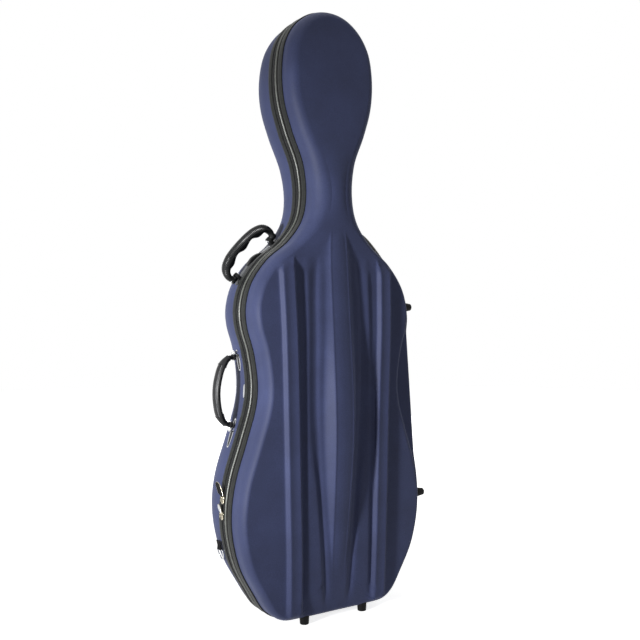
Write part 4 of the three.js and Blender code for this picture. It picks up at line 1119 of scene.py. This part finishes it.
# A merged copy of a node's solid, meshed evenly and drawn in a little except where it is glued to the wall
def grownFrom(name, voxel, shrink, body):
    bm = bmesh.new()
    bm.from_mesh(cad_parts[name].data)
    bmesh.ops.remove_doubles(bm, verts=bm.verts, dist=1e-5)
    mesh = bpy.data.meshes.new(name + "_pad")
    bm.to_mesh(mesh)
    bm.free()
    piece = bpy.data.objects.new(name + "_pad", mesh)
    bpy.context.scene.collection.objects.link(piece)
    remesh = piece.modifiers.new("even", "REMESH")
    remesh.mode, remesh.voxel_size = "VOXEL", voxel * mm
    settleModifiers(piece)
    vertices = piece.data.vertices
    shares = [float(ease(linings[body].find_nearest(v.co)[3] / mm / padding["glued"])) for v in vertices]
    normals = [v.normal.copy() for v in vertices]
    for v, normal, share in zip(vertices, normals, shares):
        v.co -= normal * (shrink * share * mm)
    return piece, shares


def finishPad(piece, node, body):
    piece.data.materials.clear()
    piece.data.materials.append(finishes["plush"])
    piece.data.shade_smooth()
    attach(piece, body)
    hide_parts(node)


# The longest loop in which a plane cuts a piece, in millimetres, without the axis that the plane stands on.
def cutLoop(piece, axis, at):
    bm = bmesh.new()
    bm.from_mesh(piece.data)
    point, normal = Vector((0, 0, 0)), Vector((0, 0, 0))
    point[axis], normal[axis] = (at + caseShift[axis]) * mm, 1
    geometry = [*bm.verts, *bm.edges, *bm.faces]
    bmesh.ops.bisect_plane(bm, geom=geometry, dist=1e-6, plane_co=point, plane_no=normal, clear_outer=True)
    rim = {e for e in bm.edges if e.is_boundary}
    loops = []
    while rim:
        edge = rim.pop()
        chain = [edge.verts[0], edge.verts[1]]
        while True:
            onward = [e for e in chain[-1].link_edges if e in rim]
            if not onward:
                break
            rim.discard(onward[0])
            chain.append(onward[0].other_vert(chain[-1]))
        loops.append(np.array([v.co[:] for v in chain]) / mm - caseShift)
    bm.free()
    longest = max(loops, key=len)
    return np.delete(longest, axis, axis=1)


# A cord round the seam of a pad, where a plane cuts it
def weltRound(name, piece, axis, at, radius, body):
    loop = evenly(cutLoop(piece, axis, at), 90)
    for _ in range(4):
        loop[:-1] = (np.roll(loop[:-1], 1, 0) + 2 * loop[:-1] + np.roll(loop[:-1], -1, 0)) / 4
    loop[-1] = loop[0]
    ring = swept(loop, circle(radius, 8), closed=True)
    keep(name, draped(np.insert(ring[..., :2], axis, ring[..., 2] + at, axis=2)), "webbingPlain", body)


pads = []
for name in cushions:
    piece, shares = grownFrom(name, padding["voxel"], padding["shrink"], "back")
    pads.append((name, piece, shares, [v.co.copy() for v in piece.data.vertices]))
    cloth = piece.modifiers.new("cloth", "CLOTH")
    cloth.settings.use_pressure = True
    cloth.settings.uniform_pressure_force = padding["pressure"]
    cloth.settings.effector_weights.gravity = 0
    cloth.point_cache.frame_start, cloth.point_cache.frame_end = 1, padding["frames"]
for number in range(1, padding["frames"] + 1):
    bpy.context.scene.frame_set(number)
for name, piece, shares, starts in pads:
    settleModifiers(piece)
    for v, share, start in zip(piece.data.vertices, shares, starts):
        moved = v.co - start
        reach = padding["cap"] * mm * share
        v.co = start + moved * min(1, reach / max(moved.length, 1e-9)) if share > 0 else start
    axis, at, fill = cushions[name]
    weltRound(f"{name}_welt", piece, axis, at, padding["welt"], "back")
    soften = piece.modifiers.new("soften", "SUBSURF")
    soften.levels = soften.render_levels = 1
    finishPad(piece, name, "back")
bpy.context.scene.frame_set(1)
for name, (voxel, smoothing, fill, body) in blocks.items():
    piece, shares = grownFrom(name, voxel, blockShrink, body)
    bm = bmesh.new()
    bm.from_mesh(piece.data)
    for _ in range(smoothing):
        bmesh.ops.smooth_vert(bm, verts=bm.verts, factor=0.5, use_axis_x=True, use_axis_y=True,
                              use_axis_z=True)
    bm.to_mesh(piece.data)
    bm.free()
    finishPad(piece, name, body)
for hand in ("left", "right"):
    name = f"bow_tip_pocket_{hand}"
    weltRound(f"{name}_hem", bpy.data.objects[f"{name}_pad"], 2, hem["z"], hem["radius"], "lid")
print("padding made")

# Strap over the neck: webbing with a press stud
neckStrap = {"z": 923, "y": 14.6, "half": 37, "halfWidth": 12, "halfThick": 1.1, "stud": 29}
strapPath = np.stack([np.linspace(-neckStrap["half"], neckStrap["half"], 41), np.zeros(41)], 1)
thick = neckStrap["halfThick"]
band, bandMaps = webbingAlong(strapPath, 2 * neckStrap["half"], thick, thick, neckStrap["halfWidth"],
                              lambda t: 1 - 0.25 * max(0, (t - 0.9) / 0.1) ** 2)
band = draped(band + [0, neckStrap["y"], neckStrap["z"]], bandMaps, caps=True)
keep("neck_strap_band", band, "webbing", "neck_strap", node="neck_strap")
stud = turned([[0, -2.6], [2.5, -2.5], [4.6, -1.8], [5.6, -0.7], [5.8, 0.6], [0, 0.6]], 28)
onStrap = turnedTo((1, 3, 2), (neckStrap["stud"], neckStrap["y"] - thick, neckStrap["z"]))
keep("neck_strap_stud", settled(stud, onStrap), "nickel", "neck_strap")

# Bow clips in the lid: a screwed plate and a turning arm with a softly swollen grip at each end
bowClip = {
    "x": 112, "z": 780, "plate": [15, 23], "base": 68, "thick": 14, "top": 60.2, "arm": 21, "screws": 16,
    "screw": [[0, 67.9], [1.2, 67.9], [1.6, 68.3], [2, 67.8], [3.4, 67.7], [4, 68.4], [0, 68.4]],
}
for hand, mirror in (("left", -1), ("right", 1)):
    inLid = turnedTo((1, -3, 2), (mirror * bowClip["x"], 0, bowClip["z"]))
    a, b = bowClip["plate"]
    plate = roundedBoth([[-a, b - 4], [-a + 4, b], [a - 4, b], [a, b - 4]], 48)
    plate = slab(plate, bowClip["base"], bowClip["base"] + bowClip["thick"], 0.9, 3)
    for sign in (1, -1):
        screw = turned(bowClip["screw"], 24)
        bmesh.ops.translate(screw, verts=screw.verts, vec=(0, sign * bowClip["screws"], 0))
        plate = joined(plate, screw)
    keep(f"bow_clip_plate_{hand}", settled(plate, inLid), "black", "lid", 40, f"bow_clip_base_{hand}")
    reach, top = bowClip["arm"], bowClip["top"]
    armShape = roundedBoth([[-reach, 0], [-reach + 2, 3.6], [-reach + 9, 4.6], [-6, 5.9], [6, 5.9],
                            [reach - 9, 4.6], [reach - 2, 3.6], [reach, 0]], 72)
    arm = slab(armShape, top + 1, bowClip["base"] - 0.7, 1.4, 4)
    cap = turned([[0, top], [3.4, top + 0.1], [4.4, top + 0.8], [4.6, top + 2], [0, top + 2]], 28)
    arm = settled(joined(arm, cap), inLid)
    keep(f"bow_clip_arm_{hand}", arm, "black", f"bow_clip_{hand}", 40, f"bow_clip_{hand}")
print("inside fitted")

# Camera, light and floor
scene = bpy.context.scene
scene.view_settings.view_transform = "Standard"

view = {"place": (-0.9875, -1.5929, 0.676), "azimuth": -32, "pitch": -0.25, "lens": 45.06}
cameraData = bpy.data.cameras.new("camera")
cameraData.lens = view["lens"]
cameraData.sensor_width = 36
camera = bpy.data.objects.new("camera", cameraData)
scene.collection.objects.link(camera)
camera.location = view["place"]
camera.rotation_euler = (math.radians(90 + view["pitch"]), 0, math.radians(view["azimuth"]))
scene.camera = camera

# A spot lamp far out on the handles' side is the brightest, at the height of the waist.
square = {"shape": "RECTANGLE", "size": 2.0, "size_y": 2.0}
lamps = {
    # kind, place, height that it is aimed at, watts, settings
    "fill": ("AREA", (1.0, -3.3, 1.0), 0.7, 9, square),
    "behind": ("AREA", (1.6, 3.0, 1.2), 0.7, 45, square),
    "above": ("AREA", (0.0, -0.3, 3.2), 0.7, 15, square),
    "key": ("SPOT", (-2.4, -0.75, 0.6), 0.62, 490,
            {"shadow_soft_size": 0.14, "spot_size": math.radians(42), "spot_blend": 1}),
}
for name, (kind, spot, aim, power, settings) in lamps.items():
    data = bpy.data.lights.new(name, kind)
    data.energy = power
    for key, value in settings.items():
        setattr(data, key, value)
    lamp = bpy.data.objects.new(name, data)
    lamp.location = spot
    lamp.rotation_euler = (Vector((0, 0, aim)) - Vector(spot)).to_track_quat("-Z", "Y").to_euler()
    scene.collection.objects.link(lamp)


# One where the camera looks at a thing itself or in a mirror, nothing where it only lights others
def seenDirectly(material):
    rays = add(material, "LightPath").node.outputs
    either = add(material, "Math", rays["Is Camera Ray"], rays["Is Glossy Ray"], operation="MAXIMUM")
    return add(material, "Math", either, rays["Is Transmission Ray"], operation="MAXIMUM")


world = bpy.data.worlds.new("studio")
scene.world = world
world.use_nodes = True
soft = world.node_tree.nodes["Background"]
soft.inputs["Color"].default_value = (1, 1, 1, 1)
soft.inputs["Strength"].default_value = 0.05
white = add(world, "Background", (1, 1, 1, 1))
shown = add(world, "MixShader", seenDirectly(world), soft.outputs["Background"], white)
world.node_tree.links.new(shown, world.node_tree.nodes["World Output"].inputs["Surface"])

# Pale floor: painted board that keeps the shadow round the feet and turns white further out
floorBoard = {"radius": 6, "near": 0.35, "far": 1.1, "glow": 0.8}
bm = bmesh.new()
bmesh.ops.create_circle(bm, cap_ends=True, segments=96, radius=floorBoard["radius"])
mesh = bpy.data.meshes.new("floor")
bm.to_mesh(mesh)
bm.free()
material, place = newMaterial("paintedBoardWhite", {
    "Base Color": linear("f2f2f2"), "Roughness": 0.9, "Specular IOR Level": 0.1,
    "Emission Color": (1, 1, 1, 1),
})
far = add(material, "VectorMath", place, operation="LENGTH", out="Value")
glow = add(material, "MapRange", far, floorBoard["near"], floorBoard["far"], floorBoard["glow"], 1.0,
           interpolation_type="SMOOTHSTEP")
shown = add(material, "Math", glow, seenDirectly(material), operation="MULTIPLY")
shader = material.node_tree.nodes["Principled BSDF"]
material.node_tree.links.new(shown, shader.inputs["Emission Strength"])
mesh.materials.append(material)
board = bpy.data.objects.new("floor", mesh)
scene.collection.objects.link(board)
